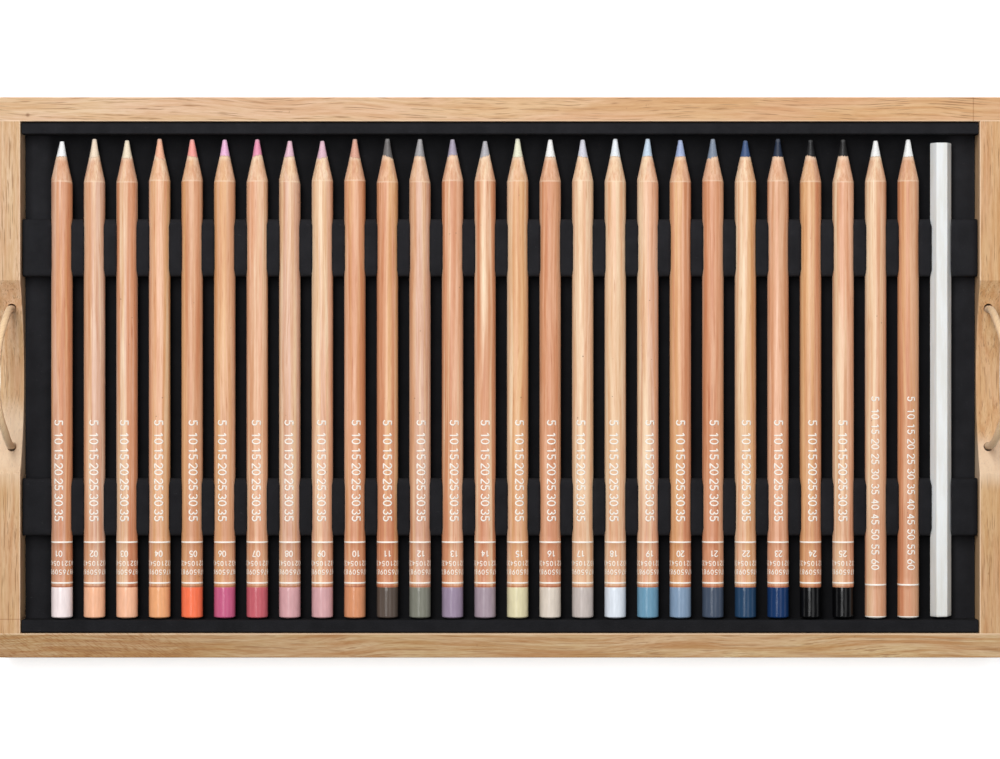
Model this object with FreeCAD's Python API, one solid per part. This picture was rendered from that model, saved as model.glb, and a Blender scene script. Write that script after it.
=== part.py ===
import FreeCAD, Part
import math
import os

os.makedirs("parts", exist_ok=True)

# A lift-out oak tray that holds 28 pencils side by side. All sizes are in millimetres.
# X runs along the tray to the right, Y to the rear, where the points lie, and Z up.
# The origin is the middle of the tray's footprint, on the surface that it stands on.

# Oak frame
OPENING_LENGTH = 356.2
OPENING_WIDTH = 190.1
WALL = 9.0
WALL_HEIGHT = 22.0
EASED_EDGE = 0.35

# Plywood bottom, held in a groove round the inside of the walls
BOARD_THICKNESS = 3.0
BOARD_UNDERSIDE = 6.5
GROOVE_DEPTH = 1.8

# Hand scoop in the top edge of each end panel
SCOOP_CHORD = 72.0
SCOOP_DEPTH = 9.8

# Black insert: a lining on the bottom, two stop strips and two rests of blocks with notches between
LINING_THICKNESS = 1.6
FITTING_GAP = 0.3
STRIP_TOP = 20.5
REAR_STRIP_FRONT = 90.5
FRONT_STRIP_REAR = 90.2
REST_TOP = 18.0
REST_INNER = 37.6
REST_OUTER = 59.0
REST_ROUNDING = 1.2

# Pencils, and the row of notches that they lie in
PENCIL_COUNT = 25
BLENDER_COUNT = 2
PITCH = 12.14
ROW_SHIFT = 0.5
PENCIL_AXIS_HEIGHT = 16.1
PENCIL_RADIUS = 4.0
CORE_RADIUS = 1.9
NOTCH_CLEARANCE = 0.2

# Stations along a pencil, from its rear point to its front end
POINT_Y = 89.2
POINT_RADIUS = 0.86
POINT_DOME = 0.5
POINT_HOLLOW = 0.16
CORE_SHOWS_Y = 81.2
SHOULDER_Y = 72.4
END_Y = -89.9
END_DOME = 0.9
BORE_END_Y = -88.0

# White stick
STICK_REAR_Y = 87.4
STICK_FRONT_Y = -89.2
STICK_ACROSS_CORNERS = 8.0

# Rope handles
ROPE_RADIUS = 1.35
ROPE_HOLE_RADIUS = 1.7
ROPE_HOLE_X = 182.0
ROPE_HOLE_Y = 25.8
BOW_PIVOT_HEIGHT = 18.8
BOW_PIVOT_CLEARANCE = 0.1
ROPE_END_DROP = 1.2
KNOT_POCKET_RADIUS = 3.1
KNOT_POCKET_DEPTH = 5.2
KNOT_RADIUS = 2.8
KNOT_UNDERSIDE = 0.6
KNOT_ROUNDING = 1.6

# Each bow's route, from the mouth of the rear hole up, over and down to the front one
LEFT_BOW_ROUTE = [
    (-182.0, 25.8, 18.8),
    (-181.6, 25.1, 26.0),
    (-181.5, 21.4, 35.2),
    (-182.7, 13.0, 43.3),
    (-183.4, 0.4, 46.9),
    (-182.8, -12.4, 43.6),
    (-181.3, -21.2, 35.4),
    (-181.4, -25.1, 26.2),
    (-182.0, -25.8, 18.8),
]
RIGHT_BOW_ROUTE = [
    (182.0, 25.8, 18.8),
    (181.9, 25.0, 25.9),
    (182.4, 21.0, 34.9),
    (183.9, 12.4, 42.8),
    (184.8, -0.4, 46.4),
    (184.4, -12.8, 42.9),
    (182.8, -21.2, 34.7),
    (182.1, -25.2, 25.8),
    (182.0, -25.8, 18.8),
]

# Worked out from the sizes above
INNER_X = OPENING_LENGTH / 2
INNER_Y = OPENING_WIDTH / 2
OUTER_X = INNER_X + WALL
OUTER_Y = INNER_Y + WALL
FINGER = WALL_HEIGHT / 3
BOARD_TOP = BOARD_UNDERSIDE + BOARD_THICKNESS
LINING_TOP = BOARD_TOP + LINING_THICKNESS
SCOOP_RADIUS = (SCOOP_CHORD**2 / 4 + SCOOP_DEPTH**2) / (2 * SCOOP_DEPTH)
SCOOP_CENTRE_HEIGHT = WALL_HEIGHT - SCOOP_DEPTH + SCOOP_RADIUS
NOTCH_COUNT = PENCIL_COUNT + BLENDER_COUNT + 1
NOTCH_X = [ROW_SHIFT + PITCH * (k - (NOTCH_COUNT - 1) / 2) for k in range(NOTCH_COUNT)]
ARC_SHARE = 0.45
OVERSHOOT = 1.0
X_AXIS = FreeCAD.Vector(1, 0, 0)
Y_AXIS = FreeCAD.Vector(0, 1, 0)


def block(x, y, z):
    """A box between two values on each axis."""
    size = [high - low for low, high in (x, y, z)]
    return Part.makeBox(*size, FreeCAD.Vector(x[0], y[0], z[0]))


def save(name, *solids):
    """Writes one node's solids to its own file."""
    shape = solids[0] if len(solids) == 1 else Part.makeCompound(solids)
    shape.exportStep(f"parts/{name}.step")
    print(f"{name}: {len(shape.Solids)} solids, {shape.Volume:.1f} mm3, valid {shape.isValid()}")


def edges_where(shape, test):
    """The edges of a shape whose middle passes a test."""
    return [edge for edge in shape.Edges if test(edge.CenterOfMass)]


def frame_outside():
    """The tray's whole outer block, with every outer edge eased."""
    outside = block((-OUTER_X, OUTER_X), (-OUTER_Y, OUTER_Y), (0, WALL_HEIGHT))
    return outside.makeFillet(EASED_EDGE, outside.Edges)


def frame_opening():
    """What the walls leave open, flared at the top so that the inner edges come out eased."""
    well = block((-INNER_X, INNER_X), (-INNER_Y, INNER_Y), (-OVERSHOOT, WALL_HEIGHT))
    above = block(
        (-INNER_X - WALL / 2, INNER_X + WALL / 2),
        (-INNER_Y - WALL / 2, INNER_Y + WALL / 2),
        (WALL_HEIGHT, WALL_HEIGHT + OVERSHOOT),
    )
    opening = well.fuse(above)
    lip = edges_where(
        opening,
        lambda p: abs(p.z - WALL_HEIGHT) < 0.01 and abs(p.x) < INNER_X + 0.01 and abs(p.y) < INNER_Y + 0.01,
    )
    return opening.makeFillet(EASED_EDGE, lip)


def board_groove():
    """The room that the bottom board takes out of the walls."""
    return block(
        (-INNER_X - GROOVE_DEPTH, INNER_X + GROOVE_DEPTH),
        (-INNER_Y - GROOVE_DEPTH, INNER_Y + GROOVE_DEPTH),
        (BOARD_UNDERSIDE, BOARD_TOP),
    )


def middle_finger(side_x, side_y):
    """The end panel's finger that goes through the rail at one corner."""
    x = sorted((side_x * INNER_X, side_x * OUTER_X))
    y = sorted((side_y * INNER_Y, side_y * OUTER_Y))
    return block(x, y, (FINGER, 2 * FINGER))


def rail(side_y, outside, opening):
    """A full-length wall, cut out at both ends for the end panels' fingers."""
    y = sorted((side_y * INNER_Y, side_y * OUTER_Y))
    wall = block((-OUTER_X, OUTER_X), y, (0, WALL_HEIGHT)).common(outside)
    return wall.cut([opening, board_groove(), middle_finger(-1, side_y), middle_finger(1, side_y)])


def scoop(side_x):
    """The hand scoop's cutter: a drum across the wall that widens at both faces to ease its edges."""
    near = INNER_X
    far = OUTER_X
    wide = SCOOP_RADIUS + EASED_EDGE
    corner = EASED_EDGE * (1 - math.sqrt(0.5))

    def at(x, radius):
        return FreeCAD.Vector(side_x * x, 0, SCOOP_CENTRE_HEIGHT - radius)

    profile = [
        Part.makeLine(at(near - OVERSHOOT, 0), at(near - OVERSHOOT, wide)),
        Part.makeLine(at(near - OVERSHOOT, wide), at(near, wide)),
        Part.Arc(
            at(near, wide), at(near + corner, SCOOP_RADIUS + corner), at(near + EASED_EDGE, SCOOP_RADIUS)
        ).toShape(),
        Part.makeLine(at(near + EASED_EDGE, SCOOP_RADIUS), at(far - EASED_EDGE, SCOOP_RADIUS)),
        Part.Arc(
            at(far - EASED_EDGE, SCOOP_RADIUS), at(far - corner, SCOOP_RADIUS + corner), at(far, wide)
        ).toShape(),
        Part.makeLine(at(far, wide), at(far + OVERSHOOT, wide)),
        Part.makeLine(at(far + OVERSHOOT, wide), at(far + OVERSHOOT, 0)),
        Part.makeLine(at(far + OVERSHOOT, 0), at(near - OVERSHOOT, 0)),
    ]
    face = Part.Face(Part.Wire(profile))
    return face.revolve(FreeCAD.Vector(0, 0, SCOOP_CENTRE_HEIGHT), X_AXIS, 360)


def end_panel(side_x, outside, opening):
    """A short wall between the rails: scooped, with a finger at each end and two rope holes."""
    x = sorted((side_x * INNER_X, side_x * OUTER_X))
    wall = block(x, (-INNER_Y, INNER_Y), (0, WALL_HEIGHT))
    wall = wall.fuse([middle_finger(side_x, -1), middle_finger(side_x, 1)]).common(outside)
    cutters = [opening, board_groove(), scoop(side_x)]
    for side_y in (-1, 1):
        foot = FreeCAD.Vector(side_x * ROPE_HOLE_X, side_y * ROPE_HOLE_Y, -OVERSHOOT)
        cutters.append(Part.makeCylinder(ROPE_HOLE_RADIUS, WALL_HEIGHT + 2 * OVERSHOOT, foot))
        cutters.append(Part.makeCylinder(KNOT_POCKET_RADIUS, KNOT_POCKET_DEPTH + OVERSHOOT, foot))
    return wall.cut(cutters).removeSplitter()


def strip(inner_y, outer_y):
    """A low black strip that lies on the lining along one rail, with its long top edges rounded."""
    half_length = INNER_X - FITTING_GAP
    bar = block((-half_length, half_length), sorted((inner_y, outer_y)), (LINING_TOP, STRIP_TOP))
    top_edges = edges_where(bar, lambda p: abs(p.x) < 0.01 and abs(p.z - STRIP_TOP) < 0.01)
    return bar.makeFillet(REST_ROUNDING / 2, top_edges)


def rest_block(x, y, foot):
    """One of a rest's blocks, with its long top edges rounded."""
    body = block(x, y, (foot, REST_TOP))
    middle = (x[0] + x[1]) / 2
    top_edges = edges_where(body, lambda p: abs(p.x - middle) < 0.01 and abs(p.z - REST_TOP) < 0.01)
    return body.makeFillet(REST_ROUNDING, top_edges)


def pencil_rest(side_y):
    """A cross bar in pieces: a thin base and the blocks on it, which leave one notch for each pencil."""
    half_length = INNER_X - FITTING_GAP
    half_notch = PENCIL_RADIUS + NOTCH_CLEARANCE
    seat = PENCIL_AXIS_HEIGHT - half_notch
    y = sorted((side_y * REST_INNER, side_y * REST_OUTER))
    block_starts = [-half_length] + [x + half_notch for x in NOTCH_X]
    block_ends = [x - half_notch for x in NOTCH_X] + [half_length]
    base = block((-half_length, half_length), y, (LINING_TOP, seat))
    return [base] + [rest_block(x, y, seat) for x in zip(block_starts, block_ends)]


def turned(centre_x, start, *runs):
    """A solid turned about a pencil's axis.

    Each run leads to its last (y, radius) station, in an arc if it has two stations.
    """

    def place(station):
        return FreeCAD.Vector(centre_x + station[1], station[0], PENCIL_AXIS_HEIGHT)

    edges = []
    here = start
    for run in runs + ((start,),):
        if len(run) == 2:
            edges.append(Part.Arc(place(here), place(run[0]), place(run[1])).toShape())
        else:
            edges.append(Part.makeLine(place(here), place(run[0])))
        here = run[-1]
    return Part.Face(Part.Wire(edges)).revolve(FreeCAD.Vector(centre_x, 0, PENCIL_AXIS_HEIGHT), Y_AXIS, 360)


def dome_middle(rim_radius, top_y, height):
    """The middle of the arc from a round dome's rim to its top. A height below 0 faces it to -Y."""
    ball = (rim_radius**2 + height**2) / (2 * height)
    half = math.asin(rim_radius / ball) / 2
    return (top_y - ball * (1 - math.cos(half)), ball * math.sin(half))


def pencil(centre_x):
    """A cedar casing with a blind bore, and the coloured core that fills it and shows at the point."""
    casing = turned(
        centre_x,
        (BORE_END_Y, 0),
        [(BORE_END_Y, CORE_RADIUS)],
        [(CORE_SHOWS_Y, CORE_RADIUS)],
        [(SHOULDER_Y, PENCIL_RADIUS)],
        [(END_Y + END_DOME, PENCIL_RADIUS)],
        [dome_middle(PENCIL_RADIUS, END_Y, -END_DOME), (END_Y, 0)],
    )
    rim_y = POINT_Y - POINT_DOME
    hollow = ((CORE_SHOWS_Y + rim_y) / 2, (CORE_RADIUS + POINT_RADIUS) / 2 - POINT_HOLLOW)
    core = turned(
        centre_x,
        (BORE_END_Y, 0),
        [(BORE_END_Y, CORE_RADIUS)],
        [(CORE_SHOWS_Y, CORE_RADIUS)],
        [hollow, (rim_y, POINT_RADIUS)],
        [dome_middle(POINT_RADIUS, POINT_Y, POINT_DOME), (POINT_Y, 0)],
    )
    return casing, core


def hex_stick(centre_x):
    """A solid six-sided stick with one flat upwards."""
    corners = []
    for k in range(7):
        angle = math.radians(60 * k)
        radius = STICK_ACROSS_CORNERS / 2
        corners.append(
            FreeCAD.Vector(
                centre_x + radius * math.cos(angle),
                STICK_FRONT_Y,
                PENCIL_AXIS_HEIGHT + radius * math.sin(angle),
            )
        )
    face = Part.Face(Part.makePolygon(corners))
    return face.extrude(Y_AXIS * (STICK_REAR_Y - STICK_FRONT_Y))


def rounded_path(points):
    """Straight runs joined by tangent arcs, as large as the runs allow. Returns the wire and the radii."""
    points = [FreeCAD.Vector(*p) for p in points]
    edges = []
    radii = []
    start = points[0]
    for before, corner, after in zip(points, points[1:], points[2:]):
        back = before - corner
        ahead = after - corner
        reach = ARC_SHARE * min(back.Length, ahead.Length)
        half_turn = (math.pi - back.getAngle(ahead)) / 2
        radius = reach / math.tan(half_turn)
        arc_start = corner + back.normalize() * reach
        arc_end = corner + ahead.normalize() * reach
        inward = (back + ahead).normalize()
        arc_middle = corner + inward * (radius / math.cos(half_turn) - radius)
        edges.append(Part.LineSegment(start, arc_start).toShape())
        edges.append(Part.Arc(arc_start, arc_middle, arc_end).toShape())
        radii.append(radius)
        start = arc_end
    edges.append(Part.LineSegment(start, points[-1]).toShape())
    return Part.Wire(edges), radii


def rope_bow(route):
    """The free bow of one handle: a round rope along its route, with a ball at each pivot."""
    path, radii = rounded_path(route)
    first = FreeCAD.Vector(*route[0])
    last = FreeCAD.Vector(*route[-1])
    section = Part.Wire(Part.makeCircle(ROPE_RADIUS, first, FreeCAD.Vector(*route[1]) - first))
    tube = path.makePipeShell([section], True, False)
    expected = math.pi * ROPE_RADIUS**2 * path.Length
    print(
        f"bow: {path.Length:.2f} mm long, radii {[round(r, 1) for r in radii]}, "
        f"volume {tube.Volume:.1f} for {expected:.1f}"
    )
    return tube.fuse([Part.makeSphere(ROPE_RADIUS, first), Part.makeSphere(ROPE_RADIUS, last)])


def rope_end(side_x, side_y):
    """The still part of the rope in its hole. It ends below the pivot, cupped round the bow's ball."""
    foot = FreeCAD.Vector(side_x * ROPE_HOLE_X, side_y * ROPE_HOLE_Y, KNOT_POCKET_DEPTH)
    pivot = FreeCAD.Vector(foot.x, foot.y, BOW_PIVOT_HEIGHT)
    length = BOW_PIVOT_HEIGHT - ROPE_END_DROP - KNOT_POCKET_DEPTH
    rope = Part.makeCylinder(ROPE_RADIUS, length, foot)
    return rope.cut(Part.makeSphere(ROPE_RADIUS + BOW_PIVOT_CLEARANCE, pivot))


def rope_knot(side_x, side_y):
    """The stopper knot under the panel, drawn up against the roof of its pocket."""
    foot = FreeCAD.Vector(side_x * ROPE_HOLE_X, side_y * ROPE_HOLE_Y, KNOT_UNDERSIDE)
    knot = Part.makeCylinder(KNOT_RADIUS, KNOT_POCKET_DEPTH - KNOT_UNDERSIDE, foot)
    rims = [edge for edge in knot.Edges if isinstance(edge.Curve, Part.Circle)]
    return knot.makeFillet(KNOT_ROUNDING, rims)


def build_frame():
    outside = frame_outside()
    opening = frame_opening()
    save("rear_rail", rail(1, outside, opening))
    save("front_rail", rail(-1, outside, opening))
    save("left_end_panel", end_panel(-1, outside, opening))
    save("right_end_panel", end_panel(1, outside, opening))
    save("base_board", board_groove())


def build_insert():
    lining = block(
        (-INNER_X + FITTING_GAP, INNER_X - FITTING_GAP),
        (-INNER_Y + FITTING_GAP, INNER_Y - FITTING_GAP),
        (BOARD_TOP, LINING_TOP),
    )
    save("base_lining", lining)
    save("rear_stop_strip", strip(REAR_STRIP_FRONT, INNER_Y - FITTING_GAP))
    save("front_stop_strip", strip(-FRONT_STRIP_REAR, -INNER_Y + FITTING_GAP))
    save("rear_pencil_rest", *pencil_rest(1))
    save("front_pencil_rest", *pencil_rest(-1))


def build_handles():
    for name, side_x, route in (("left", -1, LEFT_BOW_ROUTE), ("right", 1, RIGHT_BOW_ROUTE)):
        save(f"{name}_rope_bow", rope_bow(route))
        save(f"{name}_rope_ends", rope_end(side_x, 1), rope_end(side_x, -1))
        save(f"{name}_rope_knots", rope_knot(side_x, 1), rope_knot(side_x, -1))


def build_pencils():
    names = [f"pencil_{k:02d}" for k in range(1, PENCIL_COUNT + 1)]
    names += [f"blender_pencil_{k}" for k in range(1, BLENDER_COUNT + 1)]
    for name, centre_x in zip(names, NOTCH_X):
        save(name, *pencil(centre_x))
    save("white_hex_stick", hex_stick(NOTCH_X[-1]))


build_frame()
build_insert()
build_handles()
build_pencils()
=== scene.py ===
"""Dresses a packed oak pencil tray: wood, felt, rope, cedar and paint, in a plain studio."""

import math

import bpy
import numpy as np
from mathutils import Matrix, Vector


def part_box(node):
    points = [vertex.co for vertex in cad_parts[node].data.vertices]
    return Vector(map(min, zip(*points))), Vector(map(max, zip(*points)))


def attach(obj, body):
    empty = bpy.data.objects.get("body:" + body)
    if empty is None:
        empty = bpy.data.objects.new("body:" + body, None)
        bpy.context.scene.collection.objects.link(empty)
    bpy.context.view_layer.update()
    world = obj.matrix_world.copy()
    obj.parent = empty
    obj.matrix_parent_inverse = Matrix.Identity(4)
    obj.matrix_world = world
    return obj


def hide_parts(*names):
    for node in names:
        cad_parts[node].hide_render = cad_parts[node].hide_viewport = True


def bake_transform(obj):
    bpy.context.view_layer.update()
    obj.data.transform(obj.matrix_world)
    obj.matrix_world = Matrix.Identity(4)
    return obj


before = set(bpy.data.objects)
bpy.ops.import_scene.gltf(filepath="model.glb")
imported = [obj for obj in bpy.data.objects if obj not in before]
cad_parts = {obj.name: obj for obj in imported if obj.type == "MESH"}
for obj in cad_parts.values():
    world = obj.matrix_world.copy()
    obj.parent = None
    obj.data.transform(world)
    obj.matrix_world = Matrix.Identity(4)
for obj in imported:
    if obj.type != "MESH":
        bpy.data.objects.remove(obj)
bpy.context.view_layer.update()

bl_info = {
    "name": "Pencil Tray",
    "version": (1, 0, 0),
    "blender": (4, 5, 0),
    "location": "View3D > Sidebar > Pencil Tray",
    "description": "Builds the looks of an oak tray of coloured pencils, one operator for each kind of piece",
    "category": "Add Mesh",
}

MM = 0.001


def srgb(red, green, blue):
    """A display colour in 0 to 255 as a linear colour with alpha."""
    shares = np.array([red, green, blue]) / 255
    linear = np.where(shares <= 0.04045, shares / 12.92, ((shares + 0.055) / 1.055) ** 2.4)
    return (*[float(value) for value in linear], 1.0)


# ---------------------------------------------------------------- sizes, in millimetres

# Read from the frame
RIM_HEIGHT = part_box("rear_rail")[1].z / MM
INNER_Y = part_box("rear_rail")[0].y / MM
INNER_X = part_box("right_end_panel")[0].x / MM
LINING_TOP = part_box("base_lining")[1].z / MM
REST_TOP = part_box("rear_pencil_rest")[1].z / MM
REST_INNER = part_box("rear_pencil_rest")[0].y / MM
REST_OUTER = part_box("rear_pencil_rest")[1].y / MM
REST_HALF_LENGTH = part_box("rear_pencil_rest")[1].x / MM
PENCIL_LOW, PENCIL_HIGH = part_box("pencil_01")
PENCIL_RADIUS = (PENCIL_HIGH.x - PENCIL_LOW.x) / 2 / MM
PENCIL_AXIS_HEIGHT = (PENCIL_HIGH.z + PENCIL_LOW.z) / 2 / MM
PENCIL_END_Y = PENCIL_LOW.y / MM
PENCIL_POINT_Y = PENCIL_HIGH.y / MM
KNOT_LOW, KNOT_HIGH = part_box("right_rope_knots")
KNOT_RADIUS = (KNOT_HIGH.x - KNOT_LOW.x) / 2 / MM
ROPE_HOLE_X = (KNOT_HIGH.x + KNOT_LOW.x) / 2 / MM
ROPE_HOLE_Y = KNOT_HIGH.y / MM - KNOT_RADIUS
FINGER_GAP_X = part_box("white_hex_stick")[1].x / MM

# Pencils
PENCIL_NAMES = [f"pencil_{k:02d}" for k in range(1, 26)]
BLENDER_NAMES = ["blender_pencil_1", "blender_pencil_2"]
STICK_NAME = "white_hex_stick"
SHOULDER_Y = 73.0
CORE_SHOWS_Y = 82.3
CORE_EDGE_RADIUS = 1.93
POINT_RADIUS = 0.84
PAINT_THICKNESS = 0.03
LACQUER_RADIUS = PENCIL_RADIUS - PAINT_THICKNESS
RING_YS = (-76.45, -61.3)
BLENDER_RING_YS = (-77.15,)
RING_HALF_WIDTH = 0.27
PAINT_EDGE_Y = -78.1
END_DOME = 0.9
PRINT_THICKNESS = 0.015

# Rope
ROPE_DIAMETER = 2.7
ROPE_FOOT = 4.0
LEFT_ROPE_ROUTE = [
    (-182.05, 25.55, ROPE_FOOT),
    (-182.05, 25.5, 18.8),
    (-181.6, 25.1, 26.0),
    (-181.5, 21.4, 35.2),
    (-182.7, 13.0, 43.3),
    (-183.4, 0.4, 46.9),
    (-182.8, -12.4, 43.6),
    (-181.3, -21.2, 35.4),
    (-181.4, -25.1, 26.2),
    (-182.05, -25.5, 18.8),
    (-182.05, -25.55, ROPE_FOOT),
]
RIGHT_ROPE_ROUTE = [
    (182.05, 25.55, ROPE_FOOT),
    (182.05, 25.5, 18.8),
    (181.9, 25.0, 25.9),
    (182.4, 21.0, 34.9),
    (183.9, 12.4, 42.8),
    (184.8, -0.4, 46.4),
    (184.4, -12.8, 42.9),
    (182.8, -21.2, 34.7),
    (182.1, -25.2, 25.8),
    (182.05, -25.5, 18.8),
    (182.05, -25.55, ROPE_FOOT),
]

# Each pencil's core and the paint on its end, as display colours, and its cedar: the tone on its left, the
# tone on its right and the tone of its streaks. The core colours are lightened by a painted highlight, the
# waxy core's sheen. The mostly darker right-hand tones are partly painted shade on the barrels' right sides.
# The last two are the blender pencils.
PENCIL_LOOKS = [
    ((252, 252, 253), (250, 235, 234), "mauve rosy honey"),
    ((244, 222, 197), (248, 188, 151), "tan mauve cream"),
    ((242, 225, 198), (249, 190, 155), "cream rosy mauve"),
    ((245, 183, 151), (242, 174, 124), "peach honey cream"),
    ((251, 164, 153), (255, 123, 84), "honey tan rosy"),
    ((243, 187, 221), (203, 98, 135), "honey tan peach"),
    ((239, 154, 181), (201, 100, 110), "peach tan cream"),
    ((233, 190, 204), (218, 167, 170), "cream mauve tan"),
    ((227, 186, 200), (218, 169, 171), "cream peach mauve"),
    ((222, 165, 143), (219, 149, 108), "peach rosy honey"),
    ((112, 108, 107), (92, 80, 72), "rosy honey peach"),
    ((167, 164, 165), (130, 130, 118), "tan mauve cream"),
    ((174, 164, 182), (158, 140, 162), "rosy peach cream"),
    ((184, 181, 186), (170, 152, 162), "cream rosy peach"),
    ((239, 236, 209), (228, 218, 179), "cream honey peach"),
    ((250, 249, 246), (224, 211, 197), "tan rosy peach"),
    ((216, 215, 226), (200, 188, 182), "cream cream peach"),
    ((240, 245, 250), (226, 233, 242), "cream cream peach"),
    ((203, 220, 237), (112, 156, 182), "cream peach mauve"),
    ((169, 183, 218), (134, 157, 183), "honey rosy peach"),
    ((132, 144, 162), (72, 83, 101), "rosy tan peach"),
    ((68, 90, 131), (40, 69, 100), "cream honey peach"),
    ((34, 45, 66), (26, 55, 100), "peach tan rosy"),
    ((30, 30, 32), (12, 12, 14), "honey rosy tan"),
    ((36, 35, 35), (10, 10, 12), "cream peach rosy"),
    ((250, 250, 248), None, "cream tan peach"),
    ((250, 250, 248), None, "rosy tan honey"),
]


# ---------------------------------------------------------------- settings


def colour_property(name, description, red, green, blue):
    """A colour setting, whose default is given as a display colour."""
    return bpy.props.FloatVectorProperty(
        name=name, description=description, subtype="COLOR", size=4, default=srgb(red, green, blue)
    )


class OakSettings(bpy.types.PropertyGroup):
    """Colours of the oak frame."""

    # The pale colour is painted light: it brightens the slope of a scoop that faces the key lamp.
    pale: colour_property("Pale oak", "Colour of the bleached patch in a scooped panel", 236, 211, 184)
    rosy: colour_property("Rosy oak", "Colour of the light, slightly pink oak", 224, 196, 166)
    honey: colour_property("Honey oak", "Colour of the yellower oak", 222, 184, 144)
    # Tan, buff and brown darken the panels' front ends and the front rail, partly as painted shade of the
    # light's falloff.
    tan: colour_property("Tan oak", "Colour of the browner oak", 210, 177, 137)
    buff: colour_property("Buff oak", "Colour of the greyer oak at one end of the front rail", 209, 185, 149)
    brown: colour_property("Brown oak", "Colour of the darkest oak", 191, 165, 128)
    pore: colour_property("Pores", "Colour at the bottom of the open pores", 150, 108, 68)
    # The painted highlight: light caught on the boards' eased inner edges and their inner walls, painted into
    # the colour.
    painted_highlight: colour_property("Rubbed edge", "Colour of the inner edges that hands rub pale", 252, 224, 192)
    roughness: bpy.props.FloatProperty(
        name="Roughness", description="Roughness of the sanded, thinly oiled oak",
        subtype="FACTOR", default=0.62, min=0.0, max=1.0,
    )


class FeltSettings(bpy.types.PropertyGroup):
    """Colour and softness of the black insert."""

    colour: colour_property("Felt", "Colour of the black felt", 35, 35, 38)
    softness: bpy.props.FloatProperty(
        name="Softened edge", description="How far the rests' long edges are rounded over",
        unit="LENGTH", default=1.5 * MM, min=0.2 * MM, max=3.0 * MM,
    )


class RopeSettings(bpy.types.PropertyGroup):
    """Colour and lay of the rope handles."""

    colour: colour_property("Rope", "Colour of the natural fibre", 245, 213, 172)
    strands: bpy.props.IntProperty(
        name="Strands", description="How many strands are laid together", default=3, min=2, max=6
    )
    lay_length: bpy.props.FloatProperty(
        name="Lay length", description="Length of rope in which a strand goes round once",
        unit="LENGTH", default=9.0 * MM, min=3.0 * MM, max=40.0 * MM,
    )


class PencilSettings(bpy.types.PropertyGroup):
    """Colours of the pencils' wood and print."""

    cream: colour_property("Cream cedar", "Colour of the palest cedar", 247, 221, 188)
    peach: colour_property("Peach cedar", "Colour of the pinkish cedar", 241, 194, 162)
    honey: colour_property("Honey cedar", "Colour of the yellow cedar", 233, 188, 140)
    tan: colour_property("Tan cedar", "Colour of the plainest cedar", 228, 182, 147)
    mauve: colour_property("Mauve cedar", "Colour of the greyish pink cedar", 228, 190, 168)
    rosy: colour_property("Rosy cedar", "Colour of the reddest cedar", 220, 160, 122)
    lip: colour_property("Cut lip", "Colour of the fresh wood at the cut's edges", 250, 228, 202)
    print_colour: colour_property("Print", "Colour of the rings, scale and numbers", 255, 248, 238)
    lacquer_roughness: bpy.props.FloatProperty(
        name="Lacquer roughness", description="Roughness of the clear lacquer on the cedar",
        subtype="FACTOR", default=0.42, min=0.0, max=1.0,
    )


class StudioSettings(bpy.types.PropertyGroup):
    """Camera and lamps."""

    lens: bpy.props.FloatProperty(
        name="Lens", description="Focal length of the camera in millimetres",
        default=114.2, min=20.0, max=300.0,
    )
    camera_height: bpy.props.FloatProperty(
        name="Camera height", description="Height of the camera over the tray's rim",
        unit="LENGTH", default=1.1775, min=0.3, max=5.0,
    )
    key_power: bpy.props.FloatProperty(
        name="Key power", unit="POWER", default=28.3, min=0.0,
        description="Power of the long soft box over the tray, a little to the left and the rear",
    )
    right_power: bpy.props.FloatProperty(
        name="Right power", description="Power of the dim panel over the tray's right-hand side",
        unit="POWER", default=4.2, min=0.0,
    )
    sky_level: bpy.props.FloatProperty(
        name="Sky level", description="Strength of the even light from all round",
        default=0.06, min=0.0, max=2.0,
    )


# ---------------------------------------------------------------- meshes


def ring_faces(rows, columns):
    """Quads between neighbouring rings of a closed tube, where ring i's point j is vertex i * columns + j."""
    i, j = np.meshgrid(np.arange(rows - 1), np.arange(columns), indexing="ij")
    near = i * columns + j
    beside = i * columns + (j + 1) % columns
    return np.stack([near, beside, beside + columns, near + columns], -1).reshape(-1, 4)


def cap_faces(ring_start, columns, pole, forward):
    """Triangles from a ring to the vertex that closes it, turned the other way if forward is False."""
    a = ring_start + np.arange(columns)
    b = np.roll(a, -1)
    pole = np.full(columns, pole)
    return np.stack([a, b, pole] if forward else [b, a, pole], -1)


def closed_tube(rings, start_pole, end_pole):
    """Vertices and groups of faces of a tube given as rings of points, with a pole at each end."""
    rows, columns, _ = rings.shape
    vertices = np.concatenate([rings.reshape(-1, 3), [start_pole, end_pole]])
    start = cap_faces(0, columns, rows * columns, False)
    end = cap_faces((rows - 1) * columns, columns, rows * columns + 1, True)
    return vertices, (ring_faces(rows, columns), start, end)


def new_object(name, data):
    """A new object of some data, linked to the scene."""
    item = bpy.data.objects.new(name, data)
    bpy.context.scene.collection.objects.link(item)
    return item


def new_mesh(name, vertices, faces, slots, materials):
    """A smooth object from vertices in metres, faces, and each face's material."""
    mesh = bpy.data.meshes.new(name)
    mesh.from_pydata(vertices.tolist(), [], faces)
    for material in materials:
        mesh.materials.append(material)
    mesh.polygons.foreach_set("material_index", slots.astype(np.int32))
    mesh.polygons.foreach_set("use_smooth", np.full(len(faces), True))
    mesh.update()
    return new_object(name, mesh)


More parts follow.
